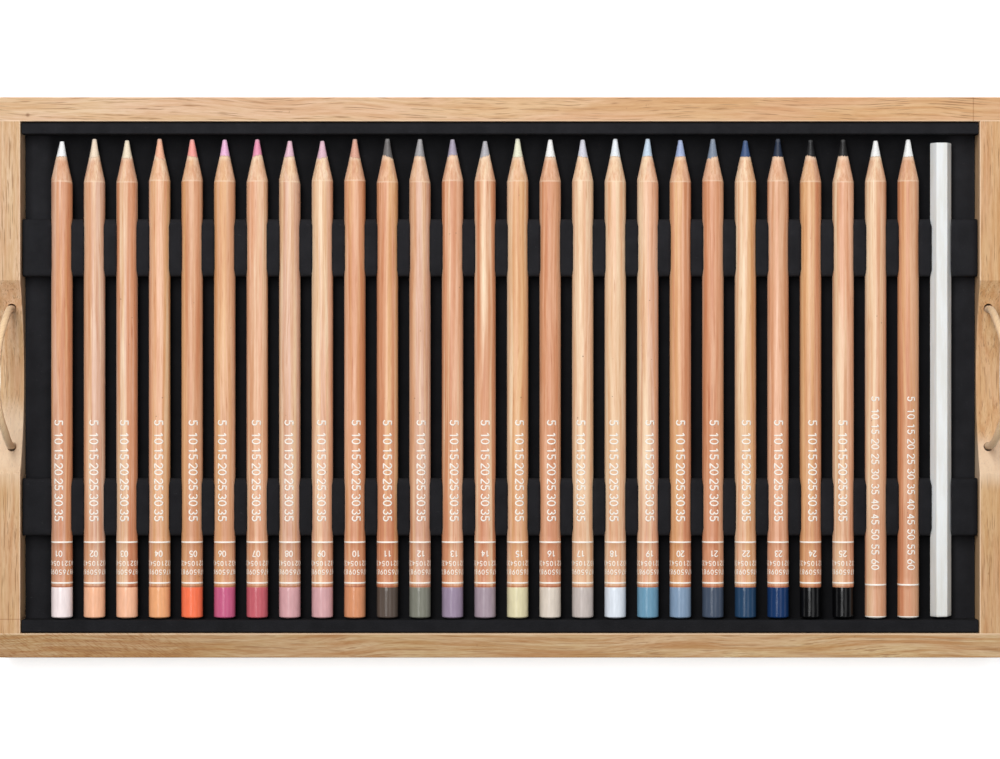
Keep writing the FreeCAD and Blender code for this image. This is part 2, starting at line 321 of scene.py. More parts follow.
def new_piece(name, parts, body, materials):
    """One object of parts, each given as vertices in millimetres, groups of faces, and materials.

    A part's materials are one index for the whole part, or one for each of its faces.
    """
    vertices, faces, slots = [], [], []
    for points, groups, index in parts:
        offset = sum(len(block) for block in vertices)
        vertices.append(points * MM)
        for group in groups:
            faces += (group + offset).tolist()
        slots.append(np.broadcast_to(index, sum(len(group) for group in groups)))
    piece = new_mesh(name, np.concatenate(vertices), faces, np.concatenate(slots), materials)
    if body:
        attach(piece, body)
    return piece


def dress(node, material):
    """Gives a node of the frame its material."""
    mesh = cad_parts[node].data
    mesh.materials.clear()
    mesh.materials.append(material)


def wobble(values, seed, strength):
    """A smooth, repeatable unevenness: three sines of unrelated wavelengths added up."""
    total = sum(np.sin(values * rate + seed * turn) for rate, turn in ((1.0, 2.1), (1.73, 5.3), (2.71, 9.7)))
    return strength * total / 3


def ragged(angle, rates, seed, strength):
    """An unevenness round a circle that closes on itself: sines with whole numbers of waves, added up."""
    total = sum(np.sin(angle * rate + seed * 2.3 * rate) for rate in rates)
    return strength * total / len(rates)


# ---------------------------------------------------------------- shader nodes

BLACK = (0.0, 0.0, 0.0, 1.0)
WHITE = (1.0, 1.0, 1.0, 1.0)


def feed(tree, socket, value):
    """Links an output to an input socket, or sets the socket's own value."""
    if isinstance(value, bpy.types.NodeSocket):
        tree.links.new(value, socket)
    else:
        socket.default_value = value


def add_node(tree, kind, inputs=None, **settings):
    """Adds a node, applies its settings, and sets or links each of its inputs."""
    node = tree.nodes.new(kind)
    for key, value in settings.items():
        setattr(node, key, value)
    for key, value in (inputs or {}).items():
        feed(tree, node.inputs[key], value)
    return node


def maths(tree, operation, *values, clamp=False):
    """One arithmetic step. Returns its output."""
    node = add_node(tree, "ShaderNodeMath", dict(enumerate(values)), operation=operation, use_clamp=clamp)
    return node.outputs[0]


def vector_maths(tree, operation, *values):
    """One step of arithmetic on vectors. Returns the node's outputs."""
    return add_node(tree, "ShaderNodeVectorMath", dict(enumerate(values)), operation=operation).outputs


def blend_colours(tree, share, low, high, blend_type="MIX"):
    """A mix of two colours. Returns its output."""
    inputs = {0: share, 6: low, 7: high}
    return add_node(tree, "ShaderNodeMix", inputs, data_type="RGBA", blend_type=blend_type).outputs[2]


def tinted(tree, mask, strength, colour, tint, blend_type="MIX"):
    """The colour mixed with a tint, as far as a mask times a strength says. Returns the output."""
    return blend_colours(tree, maths(tree, "MULTIPLY", mask, strength), colour, tint, blend_type)


def stained(tree, mask, strength, colour, stain):
    """The colour multiplied by a stain, as far as a mask times a strength says. Returns the output."""
    return tinted(tree, mask, strength, colour, srgb(*stain), "MULTIPLY")


def shaded(colour, shares):
    """A linear colour with its three parts multiplied by a share, or by one share each."""
    return (*[value * share for value, share in zip(colour[:3], np.broadcast_to(shares, 3))], 1.0)


def spread(tree, value, low, high, to_low=0.0, to_high=1.0):
    """Stretches a range of values smoothly over another, held at its ends. Returns the output."""
    inputs = {"Value": value, "From Min": low, "From Max": high, "To Min": to_low, "To Max": to_high}
    return add_node(tree, "ShaderNodeMapRange", inputs, interpolation_type="SMOOTHSTEP").outputs[0]


def noise(tree, vector, scale, detail=2.0, roughness=0.5, distortion=0.0):
    """A noise pattern, with one scale or one for each axis. Returns its value."""
    if isinstance(scale, tuple):
        vector, scale = vector_maths(tree, "MULTIPLY", vector, scale)[0], 1.0
    inputs = {"Vector": vector, "Scale": scale, "Detail": detail, "Roughness": roughness}
    return add_node(tree, "ShaderNodeTexNoise", inputs | {"Distortion": distortion}).outputs["Fac"]


def shader_group(name, inputs, outputs, fill):
    """A node group, built once, whose inputs are {name: (kind, default)} and whose outputs are all values."""
    if name in bpy.data.node_groups:
        return bpy.data.node_groups[name]
    tree = bpy.data.node_groups.new(name, "ShaderNodeTree")
    for key, (kind, default) in inputs.items():
        socket = tree.interface.new_socket(key, in_out="INPUT", socket_type=f"NodeSocket{kind}")
        if default is not None:
            socket.default_value = default
    for key in outputs:
        tree.interface.new_socket(key, in_out="OUTPUT", socket_type="NodeSocketFloat")
    add_node(tree, "NodeGroupOutput", fill(tree, tree.nodes.new("NodeGroupInput").outputs))
    return tree


def use_group(tree, group, **inputs):
    """Places a node group and sets or links its inputs, with spaces for underscores in their names."""
    node = add_node(tree, "ShaderNodeGroup", node_tree=group)
    for key, value in inputs.items():
        feed(tree, node.inputs[key.replace("_", " ").title()], value)
    return node.outputs


def wood_grain():
    """Growth layers, streaks, open pores and fibres for wood whose grain runs along the coordinates' X.

    The coordinates are in millimetres, and slow noise first sweeps them sideways. The layers are stacked
    along Z and bent by slow noise, each fading from pale to dark and then breaking off. Streaks, pores
    and fibres are noise drawn out along X, each finer than the one before.
    """

    def fill(tree, source):
        vector = source["Vector"]
        drift = noise(tree, vector, (0.016, 0.06, 0.06), 1.0)
        sideways = maths(tree, "MULTIPLY", maths(tree, "SUBTRACT", drift, 0.5), source["Sweep"])
        offset = add_node(tree, "ShaderNodeCombineXYZ", {1: sideways, 2: sideways}).outputs[0]
        swept = vector_maths(tree, "ADD", vector, offset)[0]
        slow = noise(tree, swept, (0.012, 0.11, 0.11))
        height = add_node(tree, "ShaderNodeSeparateXYZ", {0: swept}).outputs["Z"]
        bend = maths(tree, "MULTIPLY", maths(tree, "SUBTRACT", slow, 0.5), source["Bend"])
        layer = maths(tree, "DIVIDE", maths(tree, "ADD", height, bend), source["Spacing"])
        layer = maths(tree, "FRACT", layer)
        fading = maths(tree, "POWER", layer, 1.8)
        dashes = noise(tree, swept, (0.07, 2.2, 2.2))
        cluster = maths(tree, "MULTIPLY", spread(tree, layer, 0.0, 0.55, 1.0, 0.0), 0.05)
        over_level = maths(tree, "SUBTRACT", maths(tree, "ADD", dashes, cluster), source["Pore Level"])
        return {
            "Layers": maths(tree, "MULTIPLY", fading, spread(tree, layer, 0.8, 1.0, 1.0, 0.0)),
            "Streaks": spread(tree, noise(tree, swept, (0.018, 0.7, 0.7), 3.0, 0.55), 0.38, 0.66),
            "Pores": spread(tree, over_level, 0.0, 0.14),
            "Fibres": noise(tree, swept, (0.22, 5.5, 5.5), 3.0, 0.6),
            "Mottle": noise(tree, vector, (0.02, 0.14, 0.14), 3.0, 0.55),
        }

    inputs = {
        "Vector": ("Vector", None),
        "Spacing": ("Float", 2.5),
        "Bend": ("Float", 6.0),
        "Sweep": ("Float", 4.0),
        "Pore Level": ("Float", 0.6),
    }
    return shader_group("Wood grain", inputs, ("Layers", "Streaks", "Pores", "Fibres", "Mottle"), fill)


def handling_marks():
    """Faint broad smudges and rare specks, as two masks from 0 to 1."""

    def fill(tree, source):
        broad = noise(tree, source["Vector"], (0.09, 0.09, 0.09), 4.0, 0.6)
        inputs = {"Vector": source["Vector"], "Scale": source["Speck Scale"]}
        dots = add_node(tree, "ShaderNodeTexVoronoi", inputs).outputs["Distance"]
        specks = spread(tree, dots, 0.05, 0.09, 1.0, 0.0)
        rare = spread(tree, noise(tree, source["Vector"], 0.7), 0.56, 0.6)
        return {"Smudge": spread(tree, broad, 0.42, 0.68), "Specks": maths(tree, "MULTIPLY", specks, rare)}

    inputs = {"Vector": ("Vector", None), "Speck Scale": ("Float", 0.4)}
    return shader_group("Handling marks", inputs, ("Smudge", "Specks"), fill)


# ---------------------------------------------------------------- finishes

# How strongly each part of the grain shows, and the stain that it leaves
OAK_STAINS = (
    ("Streaks", 0.6, (230, 206, 176)),
    ("Layers", 0.45, (232, 208, 178)),
    ("Fibres", 0.45, (226, 206, 180)),
)
CEDAR_STAINS = (
    ("Layers", 0.5, (232, 200, 170)),
    ("Streaks", 0.6, (230, 200, 172)),
    ("Pores", 0.55, (214, 168, 132)),
    ("Fibres", 0.35, (230, 202, 176)),
)
# In millimetres: the painted edge highlight's width and depth, the pale lips at the shoulder and core, and
# the length of the painted highlight at the tip
EDGE_HIGHLIGHT_WIDTH = 0.6
EDGE_HIGHLIGHT_DEPTH = 2.5
SHOULDER_LIP = 0.4
CORE_LIP = 2.2
TIP_HIGHLIGHT_LENGTH = 2.0
# The Y where painted shade, the light falling off towards the front, begins on the barrels and the stick, and
# where it is deepest
BARREL_PAINTED_SHADE = (-38.0, -58.0)
STICK_PAINTED_SHADE = (-45.0, -85.0)


def begin_material(name):
    """A new material with its Principled shader. Returns the material, its tree and the shader."""
    material = bpy.data.materials.new(name)
    material.use_nodes = True
    tree = material.node_tree
    return material, tree, tree.nodes["Principled BSDF"]


def finish_shader(tree, shader, height=None, bump=0.0, depth=1.0, **inputs):
    """Feeds the shader's inputs, with spaces for underscores in their names.

    A height also gives it bumps, of a strength and of a depth in millimetres.
    """
    for key, value in inputs.items():
        feed(tree, shader.inputs[key.replace("_", " ")], value)
    if height is not None:
        node = add_node(tree, "ShaderNodeBump", {"Strength": bump, "Distance": depth * MM, "Height": height})
        tree.links.new(node.outputs[0], shader.inputs["Normal"])


def grain_coordinates(tree, turn=(0.0, 0.0, 0.0), shift=(0.0, 0.0, 0.0)):
    """Object coordinates in millimetres, turned so that the grain runs along X, and shifted."""
    place = add_node(tree, "ShaderNodeTexCoord").outputs["Object"]
    inputs = {"Vector": place, "Rotation": turn, "Scale": (1 / MM,) * 3, "Location": shift}
    return add_node(tree, "ShaderNodeMapping", inputs, vector_type="POINT").outputs[0]


def place_along(tree, axis):
    """The object coordinate along one axis, in millimetres. Returns the output."""
    place = add_node(tree, "ShaderNodeTexCoord").outputs["Object"]
    return maths(tree, "DIVIDE", add_node(tree, "ShaderNodeSeparateXYZ", {0: place}).outputs[axis], MM)


def near_line(tree, axis, position, half_width):
    """A mask that is 1 on a line across one axis and fades out beside it. Returns the output."""
    gap = maths(tree, "ABSOLUTE", maths(tree, "SUBTRACT", place_along(tree, axis), position))
    return spread(tree, gap, half_width * 0.3, half_width, 1.0, 0.0)


def with_grain(tree, grain, colour, stains, figure=1.0):
    """The colour with the grain's stains, all stronger or weaker by the figure. Returns the output."""
    for part, strength, stain in stains:
        mask = spread(tree, grain[part], 0.35, 0.7) if part == "Fibres" else grain[part]
        colour = stained(tree, mask, strength * figure, colour, stain)
    return colour


def oak_material(
    name, turn, shift, tones, axis, rim, figure=1.0, pale=None, glue=None, flecks=None, knot=None
):
    """Sanded oak, whose tone drifts from one end of the board to the other, with streaks and open pores.

    The rim is where the board's inner edge lies, which gets a painted highlight reaching onto the inner
    wall. The figure is how strongly the grain shows. A board may have a painted patch of light near one
    place along it, where a scoop's slope faces the lamp, and have a glue line across it, fine slanting
    flecks up to a place along it, or a pin knot. A drift to a darker front end is partly painted shade.
    """
    settings = bpy.context.scene.tray_oak
    material, tree, shader = begin_material(name)
    vector = grain_coordinates(tree, turn, shift)
    grain = use_group(tree, wood_grain(), vector=vector, spacing=3.1, bend=18.0, sweep=7.0, pore_level=0.57)
    marks = use_group(tree, handling_marks(), vector=vector, speck_scale=0.12)
    along = place_along(tree, axis)
    first, last, pore = (tuple(getattr(settings, tone)) for tone in (*tones, "pore"))
    # The drift darkens the front rail and the panels' front ends, partly as painted shade of the light's
    # falloff.
    colour = blend_colours(tree, spread(tree, along, -INNER_X * 0.9, INNER_X * 0.9), first, last)
    colour = stained(tree, spread(tree, grain["Mottle"], 0.42, 0.62), 0.5, colour, (255, 240, 236))
    colour = stained(tree, spread(tree, grain["Mottle"], 0.58, 0.36), 0.5, colour, (252, 244, 222))
    colour = with_grain(tree, grain, colour, OAK_STAINS, figure)
    colour = tinted(tree, grain["Pores"], 0.72, colour, pore)
    colour = tinted(tree, marks["Specks"], 0.5, colour, pore)
    # Painted light: a pale patch on the slope of a scoop that faces the key lamp.
    if pale:
        colour = tinted(tree, near_line(tree, axis, *pale), 0.62, colour, tuple(settings.pale))
    # Painted highlight along the inner edge, reaching down onto the inner wall.
    edge = near_line(tree, "Y" if axis == "X" else "X", rim, EDGE_HIGHLIGHT_WIDTH)
    upper = spread(tree, place_along(tree, "Z"), RIM_HEIGHT - EDGE_HIGHLIGHT_DEPTH, RIM_HEIGHT - 0.5, 0.1, 0.5)
    colour = tinted(tree, edge, upper, colour, tuple(settings.painted_highlight))
    if glue:
        colour = stained(tree, near_line(tree, axis, glue, 0.3), 0.45, colour, (180, 140, 100))
    if flecks:
        slanting = grain_coordinates(tree, (0.0, 0.0, 0.5))
        dashes = spread(tree, noise(tree, slanting, (0.36, 2.6, 2.6)), 0.48, 0.66)
        here = spread(tree, along, flecks - 20, flecks + 15, 1.0, 0.0)
        colour = stained(tree, maths(tree, "MULTIPLY", dashes, here), 0.7, colour, (218, 190, 158))
    if knot:
        offset = grain_coordinates(tree, shift=(-knot[0], -knot[1], -RIM_HEIGHT))
        distance = vector_maths(tree, "LENGTH", offset)["Value"]
        colour = stained(tree, spread(tree, distance, 0.2, 1.1, 1.0, 0.0), 0.6, colour, (150, 112, 80))
    height = maths(tree, "SUBTRACT", maths(tree, "MULTIPLY", grain["Fibres"], 0.25), grain["Pores"])
    dull = spread(tree, grain["Fibres"], 0.2, 0.8, settings.roughness - 0.07, settings.roughness + 0.1)
    finish_shader(
        tree, shader, height=height, bump=0.3, depth=0.12,
        Base_Color=colour, Roughness=dull, Specular_IOR_Level=0.3,
    )
    return material


def plywood_material():
    """Thin birch plywood: pale, with wide soft figure."""
    material, tree, shader = begin_material("birch_plywood")
    vector = grain_coordinates(tree)
    grain = use_group(tree, wood_grain(), vector=vector, spacing=3.0, bend=26.0, sweep=6.0, pore_level=0.68)
    shade = maths(tree, "ADD", maths(tree, "MULTIPLY", grain["Layers"], 0.4), grain["Mottle"], clamp=True)
    colour = blend_colours(tree, shade, srgb(232, 208, 172), srgb(200, 166, 122))
    finish_shader(tree, shader, height=grain["Fibres"], bump=0.2, depth=0.1, Base_Color=colour, Roughness=0.7)
    return material


def felt_material(name, tone_kept_in_painted_shade):
    """Black felt: a short nap with soft mottling and stray fibres, and painted shade to the front and under
    the pencils.

    The tone kept in painted shade is the share of its tone that the nap keeps under the pencils.
    """
    material, tree, shader = begin_material(name)
    base = tuple(bpy.context.scene.tray_felt.colour)
    vector = grain_coordinates(tree)
    nap = noise(tree, vector, 4.5, 3.0, 0.7)
    patches = noise(tree, vector, 0.12, 3.0, 0.6)
    lint = noise(tree, vector, (0.8, 3.4, 3.4), 2.0, 0.4, 1.2)
    shade = maths(tree, "ADD", maths(tree, "MULTIPLY", nap, 0.9), maths(tree, "MULTIPLY", patches, 0.6))
    colour = blend_colours(tree, spread(tree, shade, 0.45, 1.05), shaded(base, 0.66), shaded(base, 1.3))
    colour = blend_colours(tree, spread(tree, lint, 0.7, 0.78, 0.0, 0.35), colour, srgb(84, 84, 88))
    # Painted shade: the felt darkens towards the front, where the light falls off.
    front = spread(tree, place_along(tree, "Y"), -INNER_Y, INNER_Y, 0.25, 0.0)
    colour = blend_colours(tree, front, colour, BLACK)
    # Painted shade between and under the pencils, out to the finger gaps.
    from_middle = maths(tree, "ABSOLUTE", place_along(tree, "X"))
    painted_shade_under_pencils = spread(tree, from_middle, FINGER_GAP_X - 1.5, FINGER_GAP_X + 2.5, 1.0 - tone_kept_in_painted_shade, 0.0)
    colour = blend_colours(tree, painted_shade_under_pencils, colour, BLACK)
    finish_shader(
        tree, shader, height=nap, bump=0.55, depth=0.25,
        Base_Color=colour, Roughness=0.95, Specular_IOR_Level=0.12,
    )
    return material


def rope_material():
    """Natural fibre laid in strands: fine twisted fibres along the piece's own map, and painted shade in the
    grooves.
    """
    material, tree, shader = begin_material("natural_rope")
    base = tuple(bpy.context.scene.tray_rope.colour)
    darker = shaded(base, (0.7, 0.6, 0.5))
    lay = add_node(tree, "ShaderNodeAttribute", attribute_name="Rope lay").outputs["Vector"]
    fibres = noise(tree, lay, (0.5, 26.0, 1.0), 3.0, 0.6)
    yarns = noise(tree, lay, (0.12, 5.0, 1.0))
    groove = add_node(tree, "ShaderNodeSeparateXYZ", {0: lay}).outputs["Z"]
    colour = blend_colours(tree, spread(tree, fibres, 0.3, 0.7, 0.0, 0.35), base, darker)
    colour = blend_colours(tree, spread(tree, yarns, 0.45, 0.7, 0.0, 0.25), colour, darker)
    # Painted shade: the grooves between the strands are darkened.
    colour = blend_colours(tree, spread(tree, groove, 0.35, 1.0, 0.0, 0.4), colour, darker)
    finish_shader(
        tree, shader, height=maths(tree, "ADD", fibres, yarns), bump=0.35, depth=0.12,
        Base_Color=colour, Roughness=0.78, Specular_IOR_Level=0.25, Sheen_Weight=0.1,
    )
    return material


def cedar_colour(tree, vector, centre_x, tones):
    """Cedar that runs from one tone on the barrel's left to another on its right, in long bands and streaks.
    The drift to a mostly darker right-hand tone is partly painted shade on the barrel's right side.

    Returns the colour and the fibres.
    """
    settings = bpy.context.scene.tray_pencils
    left, right, streak = (tuple(getattr(settings, tone)) for tone in tones.split())
    grain = use_group(tree, wood_grain(), vector=vector, spacing=2.4, bend=6.0, sweep=2.5, pore_level=0.62)
    bands = noise(tree, vector, (0.005, 0.3, 0.3))
    strands = noise(tree, vector, (0.009, 0.8, 0.8), 3.0, 0.6)
    # The drift towards the right-hand tone is partly painted shade on the barrel's right side.
    across = maths(tree, "MULTIPLY", maths(tree, "SUBTRACT", place_along(tree, "X"), centre_x), 0.028)
    colour = blend_colours(tree, spread(tree, maths(tree, "ADD", bands, across), 0.42, 0.58), left, right)
    colour = blend_colours(tree, spread(tree, strands, 0.48, 0.64, 0.0, 0.7), colour, streak)
    return with_grain(tree, grain, colour, CEDAR_STAINS), grain["Fibres"]


def lacquered_cedar(name, turn, shift, tones, centre_x, shoulder, painted):
    """The barrel's cedar under clear lacquer: a few specks, painted shade towards its end, pale at the cut
    lip.
    """
    settings = bpy.context.scene.tray_pencils
    material, tree, shader = begin_material(f"{name}_lacquered_cedar")
    vector = grain_coordinates(tree, turn, shift)
    colour, fibres = cedar_colour(tree, vector, centre_x, tones)
    marks = use_group(tree, handling_marks(), vector=vector, speck_scale=0.25)
    colour = tinted(tree, marks["Specks"], 0.6, colour, srgb(120, 70, 45))
    # Painted shade: the barrel darkens towards its end, where the light falls off.
    painted_falloff_shade = spread(tree, place_along(tree, "Y"), *BARREL_PAINTED_SHADE)
    colour = stained(tree, painted_falloff_shade, 1.0, colour, (246, 238, 236))
    if painted:
        colour = stained(tree, near_line(tree, "Y", PAINT_EDGE_Y + 0.3, 0.5), 0.7, colour, (200, 150, 115))
    colour = tinted(tree, near_line(tree, "Y", shoulder, SHOULDER_LIP), 0.3, colour, tuple(settings.lip))
    finish_shader(
        tree, shader, height=fibres, bump=0.1, depth=0.08,
        Base_Color=colour, Roughness=spread(tree, marks["Smudge"], 0.0, 1.0, 0.5, 0.6),
        Specular_IOR_Level=0.35, Coat_Weight=0.45, Coat_Roughness=settings.lacquer_roughness,
    )
    return material


def cut_cedar(name, turn, shift, tones, centre_x, shoulder):
    """The same cedar, bare and paler, where the blade has cut it."""
    lip = tuple(bpy.context.scene.tray_pencils.lip)
    material, tree, shader = begin_material(f"{name}_cut_cedar")
    vector = grain_coordinates(tree, turn, shift)
    colour, fibres = cedar_colour(tree, vector, centre_x, tones)
    cuts = noise(tree, vector, (0.07, 1.6, 1.6), 4.0, 0.6)
    colour = blend_colours(tree, 0.26, colour, lip)
    colour = stained(tree, spread(tree, cuts, 0.42, 0.62), 0.35, colour, (226, 190, 152))
    by_core = spread(tree, place_along(tree, "Y"), CORE_SHOWS_Y - CORE_LIP, CORE_SHOWS_Y - 0.4, 0.0, 0.4)
    colour = blend_colours(tree, by_core, colour, lip)
    colour = tinted(tree, near_line(tree, "Y", shoulder, SHOULDER_LIP), 0.3, colour, lip)
    finish_shader(
        tree, shader, height=maths(tree, "ADD", fibres, cuts), bump=0.5, depth=0.12,
        Base_Color=colour, Roughness=spread(tree, fibres, 0.2, 0.8, 0.62, 0.8), Specular_IOR_Level=0.25,
    )
    return material


def core_material(name, display):
    """A pencil's waxy core: its pigment, a little uneven, and a painted highlight paling it towards the tip.
    """
    material, tree, shader = begin_material(f"{name}_core")
    grit = noise(tree, grain_coordinates(tree), 2.6, 3.0, 0.65)
    # Painted highlight: the core pales towards its tip.
    painted_highlight = spread(tree, place_along(tree, "Y"), PENCIL_POINT_Y - TIP_HIGHLIGHT_LENGTH, PENCIL_POINT_Y, 0.0, 0.4)
    pigment = srgb(*display)
    paler = srgb(*[min(255, 120 + value * 0.55) for value in display])
    colour = blend_colours(tree, spread(tree, grit, 0.35, 0.65), pigment, shaded(pigment, 0.82))
    colour = blend_colours(tree, painted_highlight, colour, paler)
    finish_shader(
        tree, shader, height=grit, bump=0.25, depth=0.08,
        Base_Color=colour, Roughness=spread(tree, grit, 0.3, 0.7, 0.42, 0.6), Specular_IOR_Level=0.35,
    )
    return material


def paint_material(name, display):
    """The glossy paint that a pencil's end was dipped in: slow ripples and a faint unevenness of colour."""
    material, tree, shader = begin_material(f"{name}_dipped_paint")
    paint = srgb(*display)
    flow = noise(tree, grain_coordinates(tree), (1.3, 0.22, 1.3))
    colour = blend_colours(tree, spread(tree, flow, 0.3, 0.7), paint, shaded(paint, 0.9))
    finish_shader(
        tree, shader, height=flow, bump=0.25, depth=0.12,
        Base_Color=colour, Roughness=spread(tree, flow, 0.3, 0.7, 0.16, 0.24), Specular_IOR_Level=0.26,
    )
    return material


def print_material():
    """Cream foil print, slightly worn, built once for all the pencils."""
    if "cream_print" in bpy.data.materials:
        return bpy.data.materials["cream_print"]
    material, tree, shader = begin_material("cream_print")
    wear = noise(tree, grain_coordinates(tree), 3.2, 3.0, 0.7)
    fresh = tuple(bpy.context.scene.tray_pencils.print_colour)
    colour = blend_colours(tree, spread(tree, wear, 0.66, 0.76, 0.0, 0.35), fresh, srgb(222, 180, 140))
    finish_shader(tree, shader, Base_Color=colour, Roughness=spread(tree, wear, 0.3, 0.7, 0.4, 0.55))
    return material


def wax_material():
    """The white stick: smooth, slightly waxy, with faint scuffs, and painted shade that greys it towards its
    end.
    """
    material, tree, shader = begin_material("white_wax")
    vector = grain_coordinates(tree)
    marks = use_group(tree, handling_marks(), vector=vector, speck_scale=0.3)
    cloud = noise(tree, vector, (0.5, 0.05, 0.5), 3.0, 0.6)
    colour = blend_colours(tree, spread(tree, cloud, 0.35, 0.65), srgb(232, 234, 234), srgb(224, 224, 220))
    # Painted shade: the stick greys towards its end, where the light falls off.
    colour = stained(tree, spread(tree, place_along(tree, "Y"), *STICK_PAINTED_SHADE), 1.0, colour, (246, 245, 243))
    colour = tinted(tree, marks["Specks"], 0.25, colour, srgb(180, 170, 160))
    finish_shader(
        tree, shader, height=cloud, bump=0.15, depth=0.1,
        Base_Color=colour, Roughness=spread(tree, marks["Smudge"], 0.0, 1.0, 0.36, 0.5),
        Specular_IOR_Level=0.4, Subsurface_Weight=0.12, Subsurface_Scale=1.0,
        Subsurface_Radius=(0.6 * MM, 0.5 * MM, 0.4 * MM),
    )
    return material


def studio_material():
    """A pale floor and backdrop, which keeps the shadow near the tray.

    Seen directly, mirrored or through something, it glows in part near the tray and is plain white far away.
    """
    material, tree, shader = begin_material("pale_backdrop")
    place = add_node(tree, "ShaderNodeTexCoord").outputs["Object"]
    paper = spread(tree, noise(tree, place, 60.0, 3.0, 0.6), 0.3, 0.7)
    colour = blend_colours(tree, paper, (0.93, 0.93, 0.93, 1.0), (0.95, 0.95, 0.95, 1.0))
    flat = vector_maths(tree, "MULTIPLY", place, (1.0, 1.0, 0.0))[0]
    reach = vector_maths(tree, "LENGTH", flat)["Value"]
    path = add_node(tree, "ShaderNodeLightPath").outputs
    seen = maths(tree, "MAXIMUM", path["Is Camera Ray"], path["Is Glossy Ray"])
    seen = maths(tree, "MAXIMUM", seen, path["Is Transmission Ray"])
    glow = maths(tree, "MULTIPLY", spread(tree, reach, *WHITE_REACH, NEAR_GLOW, 1.0), seen)
    finish_shader(
        tree, shader, Base_Color=blend_colours(tree, spread(tree, reach, *WHITE_REACH), colour, BLACK),
        Roughness=1.0, Specular_IOR_Level=0.0, Emission_Color=WHITE, Emission_Strength=glow,
    )
    return material


# ---------------------------------------------------------------- camera, floor and lamps

# In metres: where the camera looks, and the backdrop's floor, its curve and its wall
CAMERA_AIM = (0.0, -0.78 * MM)
FLOOR_RADIUS = 2.6
BACKDROP_CURVE = 0.9
BACKDROP_HEIGHT = 1.4
# The distances from the middle between which the floor turns plain white, and its share of white nearer
WHITE_REACH = (0.35, 1.1)
NEAR_GLOW = 0.55


def add_lamp(name, place, size, power):
    """A rectangular soft box that faces the tray's middle, with its second side kept along Y."""
    data = bpy.data.lights.new(name, "AREA")
    data.shape = "RECTANGLE"
    data.size, data.size_y = size
    data.energy = power
    lamp = new_object(name, data)
    x, y, z = place
    lamp.location = place
    lamp.rotation_euler = (-math.asin(y / math.hypot(x, y, z)), math.atan2(x, z), 0.0)
    lamp.visible_camera = False


def backdrop_rings():
    """A bowl: a flat floor out to its radius, then a quarter round up to an upright wall."""
    floor = np.stack([np.geomspace(0.05, FLOOR_RADIUS, 24), np.zeros(24)], -1)
    turn = np.linspace(0, math.pi / 2, 12)[1:]
    bend = np.stack([FLOOR_RADIUS + BACKDROP_CURVE * np.sin(turn), BACKDROP_CURVE * (1 - np.cos(turn))], -1)
    profile = np.concatenate([floor, bend, [(FLOOR_RADIUS + BACKDROP_CURVE, BACKDROP_HEIGHT)]])
    around = np.linspace(0, 2 * math.pi, 96, endpoint=False)
    x = profile[:, :1] * np.cos(around)
    y = profile[:, :1] * np.sin(around)
    return np.stack([x, y, np.broadcast_to(profile[:, 1:], x.shape)], -1)


class TRAY_OT_studio(bpy.types.Operator):
    """Camera over the tray, pale floor and backdrop, soft lamps and an even sky"""

    bl_idname = "tray.studio"
    bl_label = "Studio"

    def execute(self, context):
        settings = context.scene.tray_studio
        data = bpy.data.cameras.new("camera")
        data.lens = settings.lens
        data.sensor_width = 36.0
        data.clip_start, data.clip_end = 0.05, 20.0
        camera = new_object("camera", data)
        camera.location = (*CAMERA_AIM, RIM_HEIGHT * MM + settings.camera_height)
        context.scene.camera = camera

        rings = backdrop_rings()
        rows, columns, _ = rings.shape
        vertices = np.concatenate([rings.reshape(-1, 3), [(0.0, 0.0, 0.0)]])
        faces = ring_faces(rows, columns).tolist() + cap_faces(0, columns, rows * columns, False).tolist()
        inward = [face[::-1] for face in faces]
        new_mesh("backdrop", vertices, inward, np.zeros(len(faces)), [studio_material()])

        add_lamp("key", (-0.34, 0.55, 1.5), (0.6, 1.6), settings.key_power)
        add_lamp("right", (0.6, 0.0, 1.2), (0.5, 1.6), settings.right_power)

        world = bpy.data.worlds.new("studio_sky")
        world.use_nodes = True
        sky = world.node_tree.nodes["Background"]
        sky.inputs["Color"].default_value = WHITE
        sky.inputs["Strength"].default_value = settings.sky_level
        context.scene.world = world
        context.scene.view_settings.view_transform = "Standard"
        return {"FINISHED"}


# ---------------------------------------------------------------- rope handles

ROPE_SIDES = 36
# How deep the grooves go, as shares of the radius, how steeply a knot's ridges wind and how boxy it is
ROPE_RELIEF = 0.045
KNOT_RELIEF = 0.07
KNOT_SLOPE = 4.5
KNOT_FULLNESS = 0.55


def spline_points(name, route):
    """Points along the NURBS line through a route's control points, in millimetres."""
    data = bpy.data.curves.new(name, "CURVE")
    data.dimensions = "3D"
    spline = data.splines.new("NURBS")
    spline.points.add(len(route) - 1)
    for point, place in zip(spline.points, route):
        point.co = (*[value * MM for value in place], 1.0)
    spline.order_u = 3
    spline.use_endpoint_u = True
    spline.resolution_u = 24
    line = bpy.data.objects.new(name, data)
    mesh = bpy.data.meshes.new_from_object(line)
    points = np.array([vertex.co for vertex in mesh.vertices]) / MM
    bpy.data.objects.remove(line)
    bpy.data.curves.remove(data)
    bpy.data.meshes.remove(mesh)
    return points


